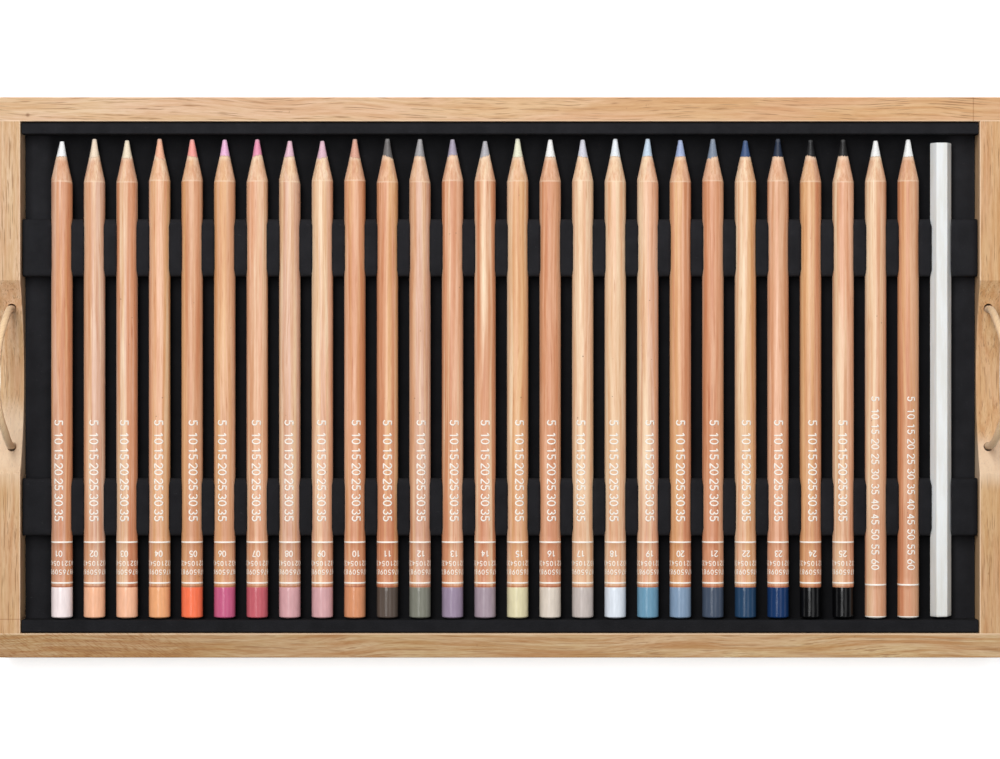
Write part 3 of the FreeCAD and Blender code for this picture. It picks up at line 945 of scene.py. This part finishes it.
def rope_surface(points, side, strands, lay_length):
    """A laid rope: a ring of points at each station, whose radius dips at the grooves between its strands.

    A ring's point at angle a and length s along the rope stands out by half the diameter less a share
    that grows towards the grooves, which lie where strands * (a - 2 pi s / lay) / 2 is a whole number
    of half turns. Each ring lies across the line, with its first direction along the tray. Returns the
    rings, and for each point its length, its place across the strand and how deep it is in a groove.
    """
    ahead = np.gradient(points, axis=0)
    ahead /= np.linalg.norm(ahead, axis=1, keepdims=True)
    outward = np.array([side, 0.0, 0.0])
    across = outward - (outward * ahead).sum(1, keepdims=True) * ahead
    across /= np.linalg.norm(across, axis=1, keepdims=True)
    up = np.cross(ahead, across)
    step = np.linalg.norm(np.diff(points, axis=0), axis=1)
    length = np.concatenate([[0.0], np.cumsum(step)])[:, None]
    angle = np.linspace(0, 2 * math.pi, ROPE_SIDES, endpoint=False)
    twist = strands * (angle - 2 * math.pi * length / lay_length) / 2
    groove = (1 - np.abs(np.sin(twist))) ** 2
    radius = (ROPE_DIAMETER / 2 * (1 - ROPE_RELIEF * groove))[..., None]
    rings = points[:, None] + radius * np.cos(angle)[:, None] * across[:, None]
    rings = rings + radius * np.sin(angle)[:, None] * up[:, None]
    lay = [np.broadcast_to(length, groove.shape), np.abs((twist / math.pi) % 2.0 - 1.0), groove]
    return rings, np.stack(lay, -1)


def knot_surface(side_x, side_y):
    """A stopper knot drawn up tight: a flattened ball wound with ridges that slope round it."""
    centre = np.array([side_x * ROPE_HOLE_X, side_y * ROPE_HOLE_Y, (KNOT_LOW.z + KNOT_HIGH.z) / 2 / MM])
    half_height = (KNOT_HIGH.z - KNOT_LOW.z) / 2 / MM
    rise = np.linspace(-math.pi / 2, math.pi / 2, 26)[1:-1, None]
    angle = np.linspace(0, 2 * math.pi, 48, endpoint=False)
    wound = 1 - KNOT_RELIEF * (1 - np.abs(np.sin(KNOT_SLOPE * rise + angle))) ** 2
    radius = KNOT_RADIUS * np.cos(rise) ** KNOT_FULLNESS * wound
    x = centre[0] + radius * np.cos(angle)
    y = centre[1] + radius * np.sin(angle)
    rings = np.stack([x, y, np.broadcast_to(centre[2] + half_height * np.sin(rise), x.shape)], -1)
    return closed_tube(rings, centre - [0, 0, half_height], centre + [0, 0, half_height])


class TRAY_OT_rope_handles(bpy.types.Operator):
    """Both rope handles: each one laid rope whose ends go down through the panel to their knots"""

    bl_idname = "tray.rope_handles"
    bl_label = "Rope Handles"

    def execute(self, context):
        settings = context.scene.tray_rope
        fibre = rope_material()
        for hand, side, route in (("left", -1, LEFT_ROPE_ROUTE), ("right", 1, RIGHT_ROPE_ROUTE)):
            points = spline_points(f"{hand}_rope_line", route)
            rings, lay = rope_surface(points, side, settings.strands, settings.lay_length / MM)
            tube = closed_tube(rings, points[0], points[-1])
            rope = new_piece(f"{hand}_rope", [(*tube, 0)], None, [fibre])
            attribute = rope.data.attributes.new("Rope lay", "FLOAT_VECTOR", "POINT")
            ends = [(0.0, 0.0, 0.0), (lay[-1, 0, 0], 0.0, 0.0)]
            attribute.data.foreach_set("vector", np.concatenate([lay.reshape(-1, 3), ends]).ravel())
            knot_parts = [(*knot_surface(side, end), 0) for end in (1, -1)]
            knots = new_piece(f"{hand}_knots", knot_parts, "tray", [fibre])
            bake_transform(rope)
            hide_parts(f"{hand}_rope_bow", f"{hand}_rope_ends")
            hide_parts(f"{hand}_rope_knots")
        return {"FINISHED"}


# ---------------------------------------------------------------- oak frame

QUARTER_TURN = math.pi / 2


class TRAY_OT_oak_frame(bpy.types.Operator):
    """Oak for the two rails and the two end panels, plywood for the bottom"""

    bl_idname = "tray.oak_frame"
    bl_label = "Oak Frame"

    def execute(self, context):
        dress("rear_rail", oak_material(
            "rear_rail_oak", (0.5, 0.0, 0.02), (11.0, 3.0, 0.0), ("rosy", "honey"), "X", INNER_Y,
            figure=0.85, glue=175.7, knot=(-175.3, 97.4),
        ))
        # The front rail's dark tones are partly painted shade, the light falling off towards the front.
        dress("front_rail", oak_material(
            "front_rail_oak", (1.2, 0.0, -0.015), (70.0, 9.0, 31.0), ("brown", "buff"), "X", -INNER_Y,
            figure=1.5, flecks=-112.0,
        ))
        # The panels darken towards their front ends, partly as painted shade; the pale patches are painted
        # light.
        dress("left_end_panel", oak_material(
            "left_panel_oak", (0.0, 0.9, QUARTER_TURN), (5.0, 40.0, 12.0), ("tan", "rosy"), "Y", -INNER_X,
            pale=(-24.0, 20.0), glue=-89.8,
        ))
        dress("right_end_panel", oak_material(
            "right_panel_oak", (0.0, 0.7, QUARTER_TURN), (93.0, 20.0, 55.0), ("tan", "honey"), "Y", INNER_X,
            pale=(-31.0, 12.0),
        ))
        dress("base_board", plywood_material())
        return {"FINISHED"}


# ---------------------------------------------------------------- black insert

NOTCH_RADIUS = PENCIL_RADIUS + 0.03
SEAT_HEIGHT = PENCIL_AXIS_HEIGHT - NOTCH_RADIUS
BASE_OVERLAP = 0.05
TOOTH_BOTTOM = SEAT_HEIGHT + 0.02
MOUTH_CHAMFER = 0.7
MOUTH_CHAMFER_LENGTH = 1.6
MOUTH_STATIONS = (0.0, 0.08, 0.225, 0.5, 1.0)
# The top share of a block that has finer steps, how far its flanks roll in there, and its crown's size
TOOTH_FINE_SHARE = 0.14
TOOTH_ROLL = 0.12
CROWN_SHARES = (0.45, 0.85, 1.0)
# How uneven the foam's flanks are, and how close together their waves come
FOAM_UNEVENNESS = 0.06
FOAM_WAVES = 0.9


def middle_x(node):
    """The X of the middle of a node of the frame."""
    low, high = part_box(node)
    return (low.x + high.x) / 2 / MM


def rest_tooth(left, right, y, rounding, seed):
    """One block of a rest, between two notches whose middles are left and right, or None beside a wall.

    The block is a stack of outlines, closer together near the top. At each height its two flanks follow
    the pencils' round, so that they close in over the pencils at the top. Near both ends the flanks draw
    back in a chamfer, and the top rolls down over the long edges by the rounding.
    """
    fine = 1 - TOOTH_FINE_SHARE * np.cos(np.linspace(0.2, math.pi / 2, 6))
    rise = np.concatenate([np.linspace(0, 1 - TOOTH_FINE_SHARE, 11), fine])
    height = (TOOTH_BOTTOM + (REST_TOP - TOOTH_BOTTOM) * rise)[:, None]
    reach = np.sqrt(np.maximum(NOTCH_RADIUS**2 - (height - PENCIL_AXIS_HEIGHT) ** 2, 0.0))
    roll = np.clip((height - (REST_TOP - rounding)) / rounding, 0, 1)
    inset = rounding * (1 - np.sqrt(np.maximum(1 - roll**2, 0.0)))
    near_top = np.clip((height - PENCIL_AXIS_HEIGHT) / (REST_TOP - PENCIL_AXIS_HEIGHT), 0, 1)
    stations = np.array(MOUTH_STATIONS) * MOUTH_CHAMFER_LENGTH
    depth = y[1] - y[0]
    along = np.concatenate([stations, np.linspace(0.2, 0.8, 7) * depth, (depth - stations)[::-1]])
    from_end = np.minimum(along, depth - along)
    chamfer = MOUTH_CHAMFER * np.clip(1 - from_end / MOUTH_CHAMFER_LENGTH, 0, 1) ** 1.3
    flank = reach + chamfer * near_top**1.5 + TOOTH_ROLL * roll**3
    line = y[0] + inset + along * (depth - 2 * inset) / depth
    uneven = wobble(line * FOAM_WAVES, seed, FOAM_UNEVENNESS)
    right_x = np.full_like(line, REST_HALF_LENGTH) if right is None else right - flank + uneven
    left_x = np.full_like(line, -REST_HALF_LENGTH) if left is None else left + flank + uneven
    share = np.array([0.25, 0.5, 0.75])
    rear_x = right_x[:, -1:] + (left_x[:, -1:] - right_x[:, -1:]) * share
    front_x = left_x[:, :1] + (right_x[:, :1] - left_x[:, :1]) * share
    x = np.concatenate([right_x, rear_x, left_x[:, ::-1], front_x], 1)
    ends = [np.repeat(line[:, end:][:, :1], len(share), 1) for end in (-1, 0)]
    around = np.concatenate([line, ends[0], line[:, ::-1], ends[1]], 1)
    rings = np.stack([x, around, np.broadcast_to(height, x.shape)], -1)
    middle = rings[-1].mean(0)
    crown = (rings[-1] - middle) * CROWN_SHARES + middle
    return closed_tube(np.concatenate([rings, crown[None]]), rings[0].mean(0), crown.mean(0))


def rest_base(y):
    """The thin bar under a rest's blocks, as a stack of three outlines with its ends closed."""
    x = np.array([-1.0, 1.0, 1.0, -1.0]) * REST_HALF_LENGTH
    line = np.repeat(y, 2)
    heights = np.linspace(LINING_TOP, SEAT_HEIGHT + BASE_OVERLAP, 3)
    rings = np.stack([np.stack([x, line, np.full(4, height)], -1) for height in heights])
    return closed_tube(rings, rings[0].mean(0), rings[-1].mean(0))


class TRAY_OT_black_insert(bpy.types.Operator):
    """Felt lining and stop strips, and the two rests whose notches hold the pencils"""

    bl_idname = "tray.black_insert"
    bl_label = "Black Insert"

    def execute(self, context):
        felt = felt_material("black_felt", 1.0)
        dress("base_lining", felt_material("black_felt_lining", 0.45))
        dress("rear_stop_strip", felt)
        dress("front_stop_strip", felt)
        rounding = context.scene.tray_felt.softness / MM
        centres = [middle_x(name) for name in (*PENCIL_NAMES, *BLENDER_NAMES, STICK_NAME)]
        for node, side in (("rear_pencil_rest", 1), ("front_pencil_rest", -1)):
            y = sorted((side * REST_INNER, side * REST_OUTER))
            parts = [
                (*rest_tooth(left, right, y, rounding, seed + side * 40), 0)
                for seed, (left, right) in enumerate(zip([None, *centres], [*centres, None]))
            ]
            rest = new_piece(f"{node}_felt", [*parts, (*rest_base(y), 0)], "tray", [felt])
            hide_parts(node)
        return {"FINISHED"}


# ---------------------------------------------------------------- print on the pencils

# A pen stroke's width, its longest and shortest steps, and its overrun at both ends as a share of the width
STROKE = 0.5
STROKE_STEP = 0.3
STROKE_LEAST_STEP = 0.04
STROKE_OVERRUN = 0.35
DIGIT_WIDTH = 0.56
DIGIT_GAP = 0.2
PRINT_DEPTH = 0.05
# Each scale: how many numbers, the Y of the first, their pitch and their cap height
SCALE_STEP = 5
SCALE_CAP = 3.15
SCALE = (7, -16.9, 5.74, SCALE_CAP)
BLENDER_SCALE = (12, -8.0, 5.6, 2.75)
BAND_NUMBER_Y = -65.6
BAND_NUMBER_CAP = 2.1
BAND_STROKE = STROKE * 0.75
ROW_YS = (-69.2, -72.4)
ROW_CAP = 1.7
ROW_STROKE = STROKE * 0.56
ROW_COUNT = 16


def arc(x, y, width, height, start, end):
    """Points on an ellipse from one angle to another, in degrees, about one for each 24 degrees."""
    angle = np.radians(np.linspace(start, end, max(3, int(abs(end - start) / 24) + 1)))
    return np.stack([x + width * np.cos(angle), y + height * np.sin(angle)], -1)


def digit_lines():
    """Each plain digit's pen strokes, in a box DIGIT_WIDTH wide and 1 high with its middle at 0."""
    half = DIGIT_WIDTH / 2
    belly = arc(-0.02, -0.2, half, 0.3, 130, -150)
    return {
        "0": [arc(0, 0, half, 0.5, 90, 450)],
        "1": [np.array([(-half * 0.6, 0.3), (0.05, 0.5), (0.05, -0.5)])],
        "2": [np.concatenate([arc(0, 0.24, half, 0.26, 165, -30), [(-half, -0.5), (half, -0.5)]])],
        "3": [arc(-0.03, 0.26, half * 0.85, 0.24, 150, -80), arc(-0.03, -0.24, half, 0.26, 80, -155)],
        "4": [np.array([(half * 0.45, -0.5), (half * 0.45, 0.5), (-half, -0.2), (half, -0.2)])],
        "5": [np.concatenate([[(half * 0.8, 0.5), (-half * 0.7, 0.5)], belly])],
        "6": [np.concatenate([[(half * 0.5, 0.5)], arc(0, -0.2, half, 0.3, 150, 510)])],
        "7": [np.array([(-half, 0.5), (half, 0.5), (-half * 0.3, -0.5)])],
        "8": [arc(0, 0.26, half * 0.82, 0.24, -90, 270), arc(0, -0.24, half, 0.26, 90, 450)],
        "9": [np.concatenate([[(-half * 0.5, -0.5)], arc(0, 0.2, half, 0.3, -30, 330)])],
    }


def ribbon(line, width):
    """A flat pen stroke as pairs of points, one on each side of a line that is first divided evenly.

    Both sides stand half a width off the line, along the mean direction of the runs that meet there, and
    each end goes on past the line by about a third of the width.
    """
    lengths = np.linalg.norm(np.diff(line, axis=0), axis=1)
    line = line[np.concatenate([[True], lengths > 1e-6])]
    total = np.concatenate([[0.0], np.cumsum(lengths[lengths > 1e-6])])
    count = max(2, math.ceil(total[-1] / STROKE_STEP))
    inner = np.arange(1, count) / count * total[-1]
    spots = np.unique(np.round(np.concatenate([total, inner]), 5))
    spots = spots[np.concatenate([[True], np.diff(spots) > STROKE_LEAST_STEP])]
    points = np.stack([np.interp(spots, total, line[:, axis]) for axis in (0, 1)], -1)
    ahead = np.gradient(points, axis=0)
    ahead /= np.linalg.norm(ahead, axis=1, keepdims=True) + 1e-9
    off = np.stack([-ahead[:, 1], ahead[:, 0]], -1) * width / 2
    points[0] -= ahead[0] * width * STROKE_OVERRUN
    points[-1] += ahead[-1] * width * STROKE_OVERRUN
    return np.stack([points - off, points + off], 1)


def written(text, cap, centre, right, up, width):
    """The strokes of a number written with a cap height, as ribbons in (along Y, round) coordinates."""
    shapes = digit_lines()
    right, up = np.array(right), np.array(up)
    strokes = []
    for k, digit in enumerate(text):
        shift = (k - (len(text) - 1) / 2) * cap * (DIGIT_WIDTH + DIGIT_GAP)
        for line in shapes[digit]:
            flat = ribbon(line * cap, width) + (shift, 0.0)
            strokes.append(centre + flat[..., :1] * right + flat[..., 1:] * up)
    return strokes


def scale_strokes(count, start_y, pitch, cap):
    """A plain row of numbers that rises in fives towards the pencil's end, read from its right-hand side."""
    strokes = []
    for k in range(count):
        text, width = str(SCALE_STEP * (k + 1)), STROKE * cap / SCALE_CAP
        strokes += written(text, cap, (start_y - pitch * k, 0.0), (-1.0, 0.0), (0.0, 1.0), width)
    return strokes


def band_strokes(number):
    """The print between the rings: the pencil's number, and two rows of digits right round the barrel."""
    right, up = (0.0, -1.0), (-1.0, 0.0)
    around = 2 * math.pi * PENCIL_RADIUS
    strokes = written(number, BAND_NUMBER_CAP, (BAND_NUMBER_Y, 0.0), right, up, BAND_STROKE)
    for row, y in enumerate(ROW_YS):
        for k in range(ROW_COUNT):
            place = (y, around * (k + row / 2) / ROW_COUNT)
            strokes += written(str((k + 5 * row) % 10), ROW_CAP, place, right, up, ROW_STROKE)
    return strokes


def round_pencil(centre_x, radius, angle, y):
    """Points at a distance from a pencil's axis, at an angle from straight up, and at a Y along it."""
    return np.stack([centre_x + radius * np.sin(angle), y, PENCIL_AXIS_HEIGHT + radius * np.cos(angle)], -1)


def wrapped(strokes, centre_x):
    """Closed, slightly raised marks: each ribbon laid round the barrel, with an underside inside it."""
    vertices, faces = [], []
    for stroke in strokes:
        offset = sum(len(block) for block in vertices)
        outline = np.concatenate([stroke[:, 0], stroke[::-1, 1]])
        for radius in (LACQUER_RADIUS - PRINT_DEPTH, LACQUER_RADIUS + PRINT_THICKNESS):
            vertices.append(round_pencil(centre_x, radius, outline[:, 1] / PENCIL_RADIUS, outline[:, 0]))
        count = len(outline)
        k = np.arange(len(stroke) - 1)
        top = np.stack([k, k + 1, count - 2 - k, count - 1 - k], -1) + count
        edge = np.arange(count)
        beside = np.roll(edge, -1)
        wall = np.stack([edge, beside, beside + count, edge + count], -1)
        faces.append(np.concatenate([top, (top - count)[:, ::-1], wall]) + offset)
    return np.concatenate(vertices), np.concatenate(faces)


# ---------------------------------------------------------------- pencils

PENCIL_SIDES = 64
WOOD, CUT, PRINT, PAINT = range(4)
PAINT_LIP = 0.1
RING_EDGE = 0.02
SHOULDER_SOFTENING = 0.35
SHOULDER_RADIUS = LACQUER_RADIUS - 0.02
# How deep the shoulder's scallops are and how far down the barrel they reach, and the blade's flat cuts
SCALLOP = 0.16
SCALLOP_REACH = 6.0
FACET_DEPTH = 0.035
# The core: how deep in the wood it starts and how much narrower, how hollow and how uneven its cone is, and
# the length of its worn tip
CORE_SUNK = 0.35
CORE_INSET = 0.2
CORE_HOLLOW = 0.04
CORE_FACETS = 0.03
TIP_ROUNDING = 0.5
# The core's rings, as shares of the way from the casing's edge to the tip
CORE_STATIONS = (0.0, 0.02, 0.1, 0.2, 0.32, 0.45, 0.58, 0.7, 0.8, 0.88, 0.94)
# How far the blade cut to one side, how wavy the core's edge is, and how often each comes up
TILTS = ([0.0, 0.12, -0.2, 0.35, -0.8], [0.3, 0.25, 0.2, 0.15, 0.1])
CUT_WAVES = ([0.1, 0.2, 0.35, 0.65, 0.95], [0.15, 0.2, 0.25, 0.25, 0.15])


def casing_profile(shoulder, painted):
    """Stations (y, radius, material of the band that leads up to it) from a pencil's end to its cut."""
    material = PAINT if painted else PRINT
    outer = PENCIL_RADIUS if painted else LACQUER_RADIUS
    swell = np.sin(np.linspace(0.12, 1, 9) * math.pi / 2)
    dome = PENCIL_END_Y + END_DOME * (1 - np.sqrt(1 - (swell * 0.995) ** 2))
    rows = [(y, outer * part**0.94, material) for y, part in zip(dome, swell)]

    def run(y, radius, count, material):
        ys = np.linspace(rows[-1][0], y, count + 1)[1:]
        radii = np.linspace(rows[-1][1], radius, count + 1)[1:]
        rows.extend((*station, material) for station in zip(ys, radii))

    run(rows[-1][0] + 0.25, outer, 1, material)
    if painted:
        run(PAINT_EDGE_Y - PAINT_LIP, outer, 8, PAINT)
        run(PAINT_EDGE_Y, LACQUER_RADIUS, 2, PAINT)
    raised = LACQUER_RADIUS + PRINT_THICKNESS
    for ring in RING_YS if painted else BLENDER_RING_YS:
        run(ring - RING_HALF_WIDTH - RING_EDGE, LACQUER_RADIUS, 6, WOOD)
        run(ring - RING_HALF_WIDTH, raised, 1, PRINT)
        run(ring + RING_HALF_WIDTH, raised, 1, PRINT)
        run(ring + RING_HALF_WIDTH + RING_EDGE, LACQUER_RADIUS, 1, PRINT)
    run(shoulder - SHOULDER_SOFTENING, LACQUER_RADIUS, 60, WOOD)
    run(shoulder, SHOULDER_RADIUS, 2, WOOD)
    return rows


def pencil_casing(centre_x, shoulder, tilt, cut_wave, seed, painted):
    """A turned cedar casing: its barrel, and its cone from the shoulder to the wavy edge of the core.

    The shoulder scallops a little round the barrel, and tilts where the blade cut to one side. Returns
    the part, and round the cone's end its Y and its radius.
    """
    angle = np.linspace(0, 2 * math.pi, PENCIL_SIDES, endpoint=False)
    rows = casing_profile(shoulder, painted)
    scallop = ragged(angle, (2, 3, 5), seed, SCALLOP) + tilt * np.sin(angle)
    core_edge = CORE_SHOWS_Y + cut_wave * np.cos(angle - seed)
    core_edge = core_edge + ragged(angle, (3, 5, 8), seed + 2, cut_wave * 0.4)
    core_edge = core_edge + ragged(angle, (9, 13, 17), seed + 5, 0.2 + cut_wave * 0.3)
    profile = np.repeat([row[:2] for row in rows], PENCIL_SIDES, 1).reshape(len(rows), 2, PENCIL_SIDES)
    y, radius = profile[:, 0], profile[:, 1]
    near_shoulder = np.clip((y - (shoulder - SCALLOP_REACH)) / SCALLOP_REACH, 0, 1)
    share = np.linspace(0, 1, 15)[1:, None]
    cone_start = shoulder + scallop
    cone_y = cone_start + (core_edge - cone_start) * share
    slope = (SHOULDER_RADIUS - CORE_EDGE_RADIUS) / (CORE_SHOWS_Y - shoulder)
    cone_radius = SHOULDER_RADIUS - slope * (cone_y - cone_start)
    facets = FACET_DEPTH * np.cos(5 * angle + seed) * np.sin(math.pi * share)
    inner_y = core_edge - np.array([[0.12], [0.3]])
    inner_radius = cone_radius[-1:] * np.array([[0.93], [0.6]])
    y = np.concatenate([y + near_shoulder * scallop, cone_y, inner_y])
    radius = np.concatenate([radius, cone_radius + facets, inner_radius])
    start, end = ((centre_x, place, PENCIL_AXIS_HEIGHT) for place in (PENCIL_END_Y, CORE_SHOWS_Y - 0.4))
    bands = [row[2] for row in rows[1:]] + [CUT] * (len(y) - len(rows)) + [rows[0][2], CUT]
    tube = closed_tube(round_pencil(centre_x, radius, angle, y), start, end)
    return (*tube, np.repeat(bands, PENCIL_SIDES)), core_edge, cone_radius[-1]


def pencil_core(centre_x, core_edge, edge_radius, tip, seed):
    """The core's point: it carries the cone on from the casing's edge and rounds over at its worn tip."""
    angle = np.linspace(0, 2 * math.pi, PENCIL_SIDES, endpoint=False)
    share = np.array(CORE_STATIONS)[:, None]
    swell = np.sin(math.pi * share)
    cone_radius = edge_radius + (POINT_RADIUS - edge_radius) * share - CORE_HOLLOW * swell
    cone_radius = cone_radius + CORE_FACETS * np.cos(4 * angle + seed) * swell
    turn = np.array([0.0, 0.3, 0.6, 0.85])[:, None] * math.pi / 2 + np.zeros(PENCIL_SIDES)
    tip_y = tip + TIP_ROUNDING * np.sin(turn)
    tip_radius = POINT_RADIUS * (0.35 + 0.65 * np.cos(turn) ** 0.8)
    sunk_y = core_edge[None] - CORE_SUNK
    y = np.concatenate([sunk_y, core_edge + (tip - core_edge) * share, tip_y])
    radius = np.concatenate([edge_radius[None] - CORE_INSET, cone_radius, tip_radius])
    start, end = ((centre_x, place, PENCIL_AXIS_HEIGHT) for place in (sunk_y.mean(), tip + TIP_ROUNDING))
    return (*closed_tube(round_pencil(centre_x, radius, angle, y), start, end), 0)


def build_pencil(number):
    """One pencil: its casing with the print on it, and the point of its core."""
    name = (PENCIL_NAMES + BLENDER_NAMES)[number - 1]
    core_colour, paint_colour, tones = PENCIL_LOOKS[number - 1]
    painted = paint_colour is not None
    centre_x = middle_x(name)
    draw = np.random.default_rng(number)
    shoulder = SHOULDER_Y + draw.uniform(-0.35, 0.35)
    tilt = draw.choice(TILTS[0], p=TILTS[1])
    cut_wave = draw.choice(CUT_WAVES[0], p=CUT_WAVES[1])
    tip = PENCIL_POINT_Y - TIP_ROUNDING - draw.uniform(0.1, 1.2)
    turn = (0.0, draw.uniform(0, math.pi), QUARTER_TURN + draw.uniform(-0.012, 0.012))
    shift = tuple(draw.uniform(0, 200, 3))
    casing_part, core_edge, edge_radius = pencil_casing(centre_x, shoulder, tilt, cut_wave, number, painted)
    core_part = pencil_core(centre_x, core_edge, edge_radius, tip, number)
    roll = draw.uniform(-0.9, 0.8)
    strokes = scale_strokes(*(SCALE if painted else BLENDER_SCALE))
    if painted:
        strokes += band_strokes(f"{number:02d}")
    marks, mark_faces = wrapped([stroke + (0.0, roll) for stroke in strokes], centre_x)
    lacquered = lacquered_cedar(name, turn, shift, tones, centre_x, shoulder, painted)
    bare = cut_cedar(name, turn, shift, tones, centre_x, shoulder)
    paint = paint_material(name, paint_colour) if painted else print_material()
    parts, looks = [casing_part, (marks, (mark_faces,), PRINT)], [lacquered, bare, print_material(), paint]
    casing = new_piece(f"{name}_casing", parts, name, looks)
    new_piece(f"{name}_core_point", [core_part], name, [core_material(name, core_colour)])
    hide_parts(name)


class TRAY_OT_pencils(bpy.types.Operator):
    """The 25 coloured pencils, with their printed scales, rings and dipped ends"""

    bl_idname = "tray.pencils"
    bl_label = "Coloured Pencils"

    def execute(self, context):
        for k in range(len(PENCIL_NAMES)):
            build_pencil(k + 1)
        return {"FINISHED"}


class TRAY_OT_blender_pencils(bpy.types.Operator):
    """The two colourless blender pencils, bare wood down to their cream ends"""

    bl_idname = "tray.blender_pencils"
    bl_label = "Blender Pencils"

    def execute(self, context):
        for k in range(len(BLENDER_NAMES)):
            build_pencil(len(PENCIL_NAMES) + k + 1)
        return {"FINISHED"}


# ---------------------------------------------------------------- white stick

# The rounding of the stick's edges, how far its end slants and the length over which that fades, and its wear
STICK_ROUNDING = 0.35
STICK_SLANT = 0.2
STICK_SLANT_REACH = 3.0
STICK_WEAR = 0.006
STICK_UNEVENNESS = 0.004
STICK_WAVES = 0.11
# The stations near each end, and the share of its full width that the stick has there
STICK_END_STATIONS = (0.0, 0.12, 0.3, 1.0)
STICK_END_SHARES = (0.9, 0.96, 0.995, 1.0)


class TRAY_OT_white_stick(bpy.types.Operator):
    """The white six-sided stick, its edges a little rounded"""

    bl_idname = "tray.white_stick"
    bl_label = "White Stick"

    def execute(self, context):
        low, high = (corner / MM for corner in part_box(STICK_NAME))
        corner_radius = (high.x - low.x) / 2
        corner = np.arange(6)[:, None] * math.pi / 3
        turn = corner + np.linspace(-math.pi / 6, math.pi / 6, 5)
        inner = corner_radius - STICK_ROUNDING / math.cos(math.pi / 6)
        x = (inner * np.cos(corner) + STICK_ROUNDING * np.cos(turn)).ravel()[::-1]
        z = (inner * np.sin(corner) + STICK_ROUNDING * np.sin(turn)).ravel()[::-1]
        ends = np.array(STICK_END_STATIONS)
        middle = np.linspace(low.y + 2, high.y - 2, 40)
        y = np.concatenate([low.y + ends, middle, high.y - ends[::-1]])[:, None]
        shrink = np.interp(np.minimum(y - low.y, high.y - y), ends, STICK_END_SHARES)
        size = shrink * (1 - STICK_WEAR + wobble(y * STICK_WAVES, 3, STICK_UNEVENNESS))
        slant = STICK_SLANT * (x / corner_radius) * np.exp(-(y - low.y) / STICK_SLANT_REACH)
        across, up = (low.x + high.x) / 2 + x * size, (low.z + high.z) / 2 + z * size
        rings = np.stack([across, y + np.maximum(slant, 0), up], -1)
        part = (*closed_tube(rings, rings[0].mean(0), rings[-1].mean(0)), 0)
        stick = new_piece(f"{STICK_NAME}_wax", [part], STICK_NAME, [wax_material()])
        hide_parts(STICK_NAME)
        return {"FINISHED"}


# ---------------------------------------------------------------- panel and registration


class VIEW3D_PT_pencil_tray(bpy.types.Panel):
    """Lists the tray's operators and settings"""

    bl_label = "Pencil Tray"
    bl_category = "Pencil Tray"
    bl_space_type = "VIEW_3D"
    bl_region_type = "UI"

    def draw(self, context):
        for operator in OPERATORS:
            self.layout.operator(operator.bl_idname)
        for name, group in SETTINGS.items():
            box = self.layout.box()
            for key in group.__annotations__:
                box.prop(getattr(context.scene, name), key)


OPERATORS = (
    TRAY_OT_studio,
    TRAY_OT_rope_handles,
    TRAY_OT_oak_frame,
    TRAY_OT_black_insert,
    TRAY_OT_pencils,
    TRAY_OT_blender_pencils,
    TRAY_OT_white_stick,
)
SETTINGS = {
    "tray_studio": StudioSettings,
    "tray_oak": OakSettings,
    "tray_felt": FeltSettings,
    "tray_rope": RopeSettings,
    "tray_pencils": PencilSettings,
}


def register():
    for item in (*SETTINGS.values(), *OPERATORS, VIEW3D_PT_pencil_tray):
        bpy.utils.register_class(item)
    for name, group in SETTINGS.items():
        setattr(bpy.types.Scene, name, bpy.props.PointerProperty(type=group))


def unregister():
    for name in SETTINGS:
        delattr(bpy.types.Scene, name)
    for item in reversed((*SETTINGS.values(), *OPERATORS, VIEW3D_PT_pencil_tray)):
        bpy.utils.unregister_class(item)


def main():
    register()
    bpy.ops.tray.studio()
    bpy.ops.tray.rope_handles()
    bpy.ops.tray.oak_frame()
    bpy.ops.tray.black_insert()
    bpy.ops.tray.pencils()
    bpy.ops.tray.blender_pencils()
    bpy.ops.tray.white_stick()


if __name__ == "__main__":
    main()
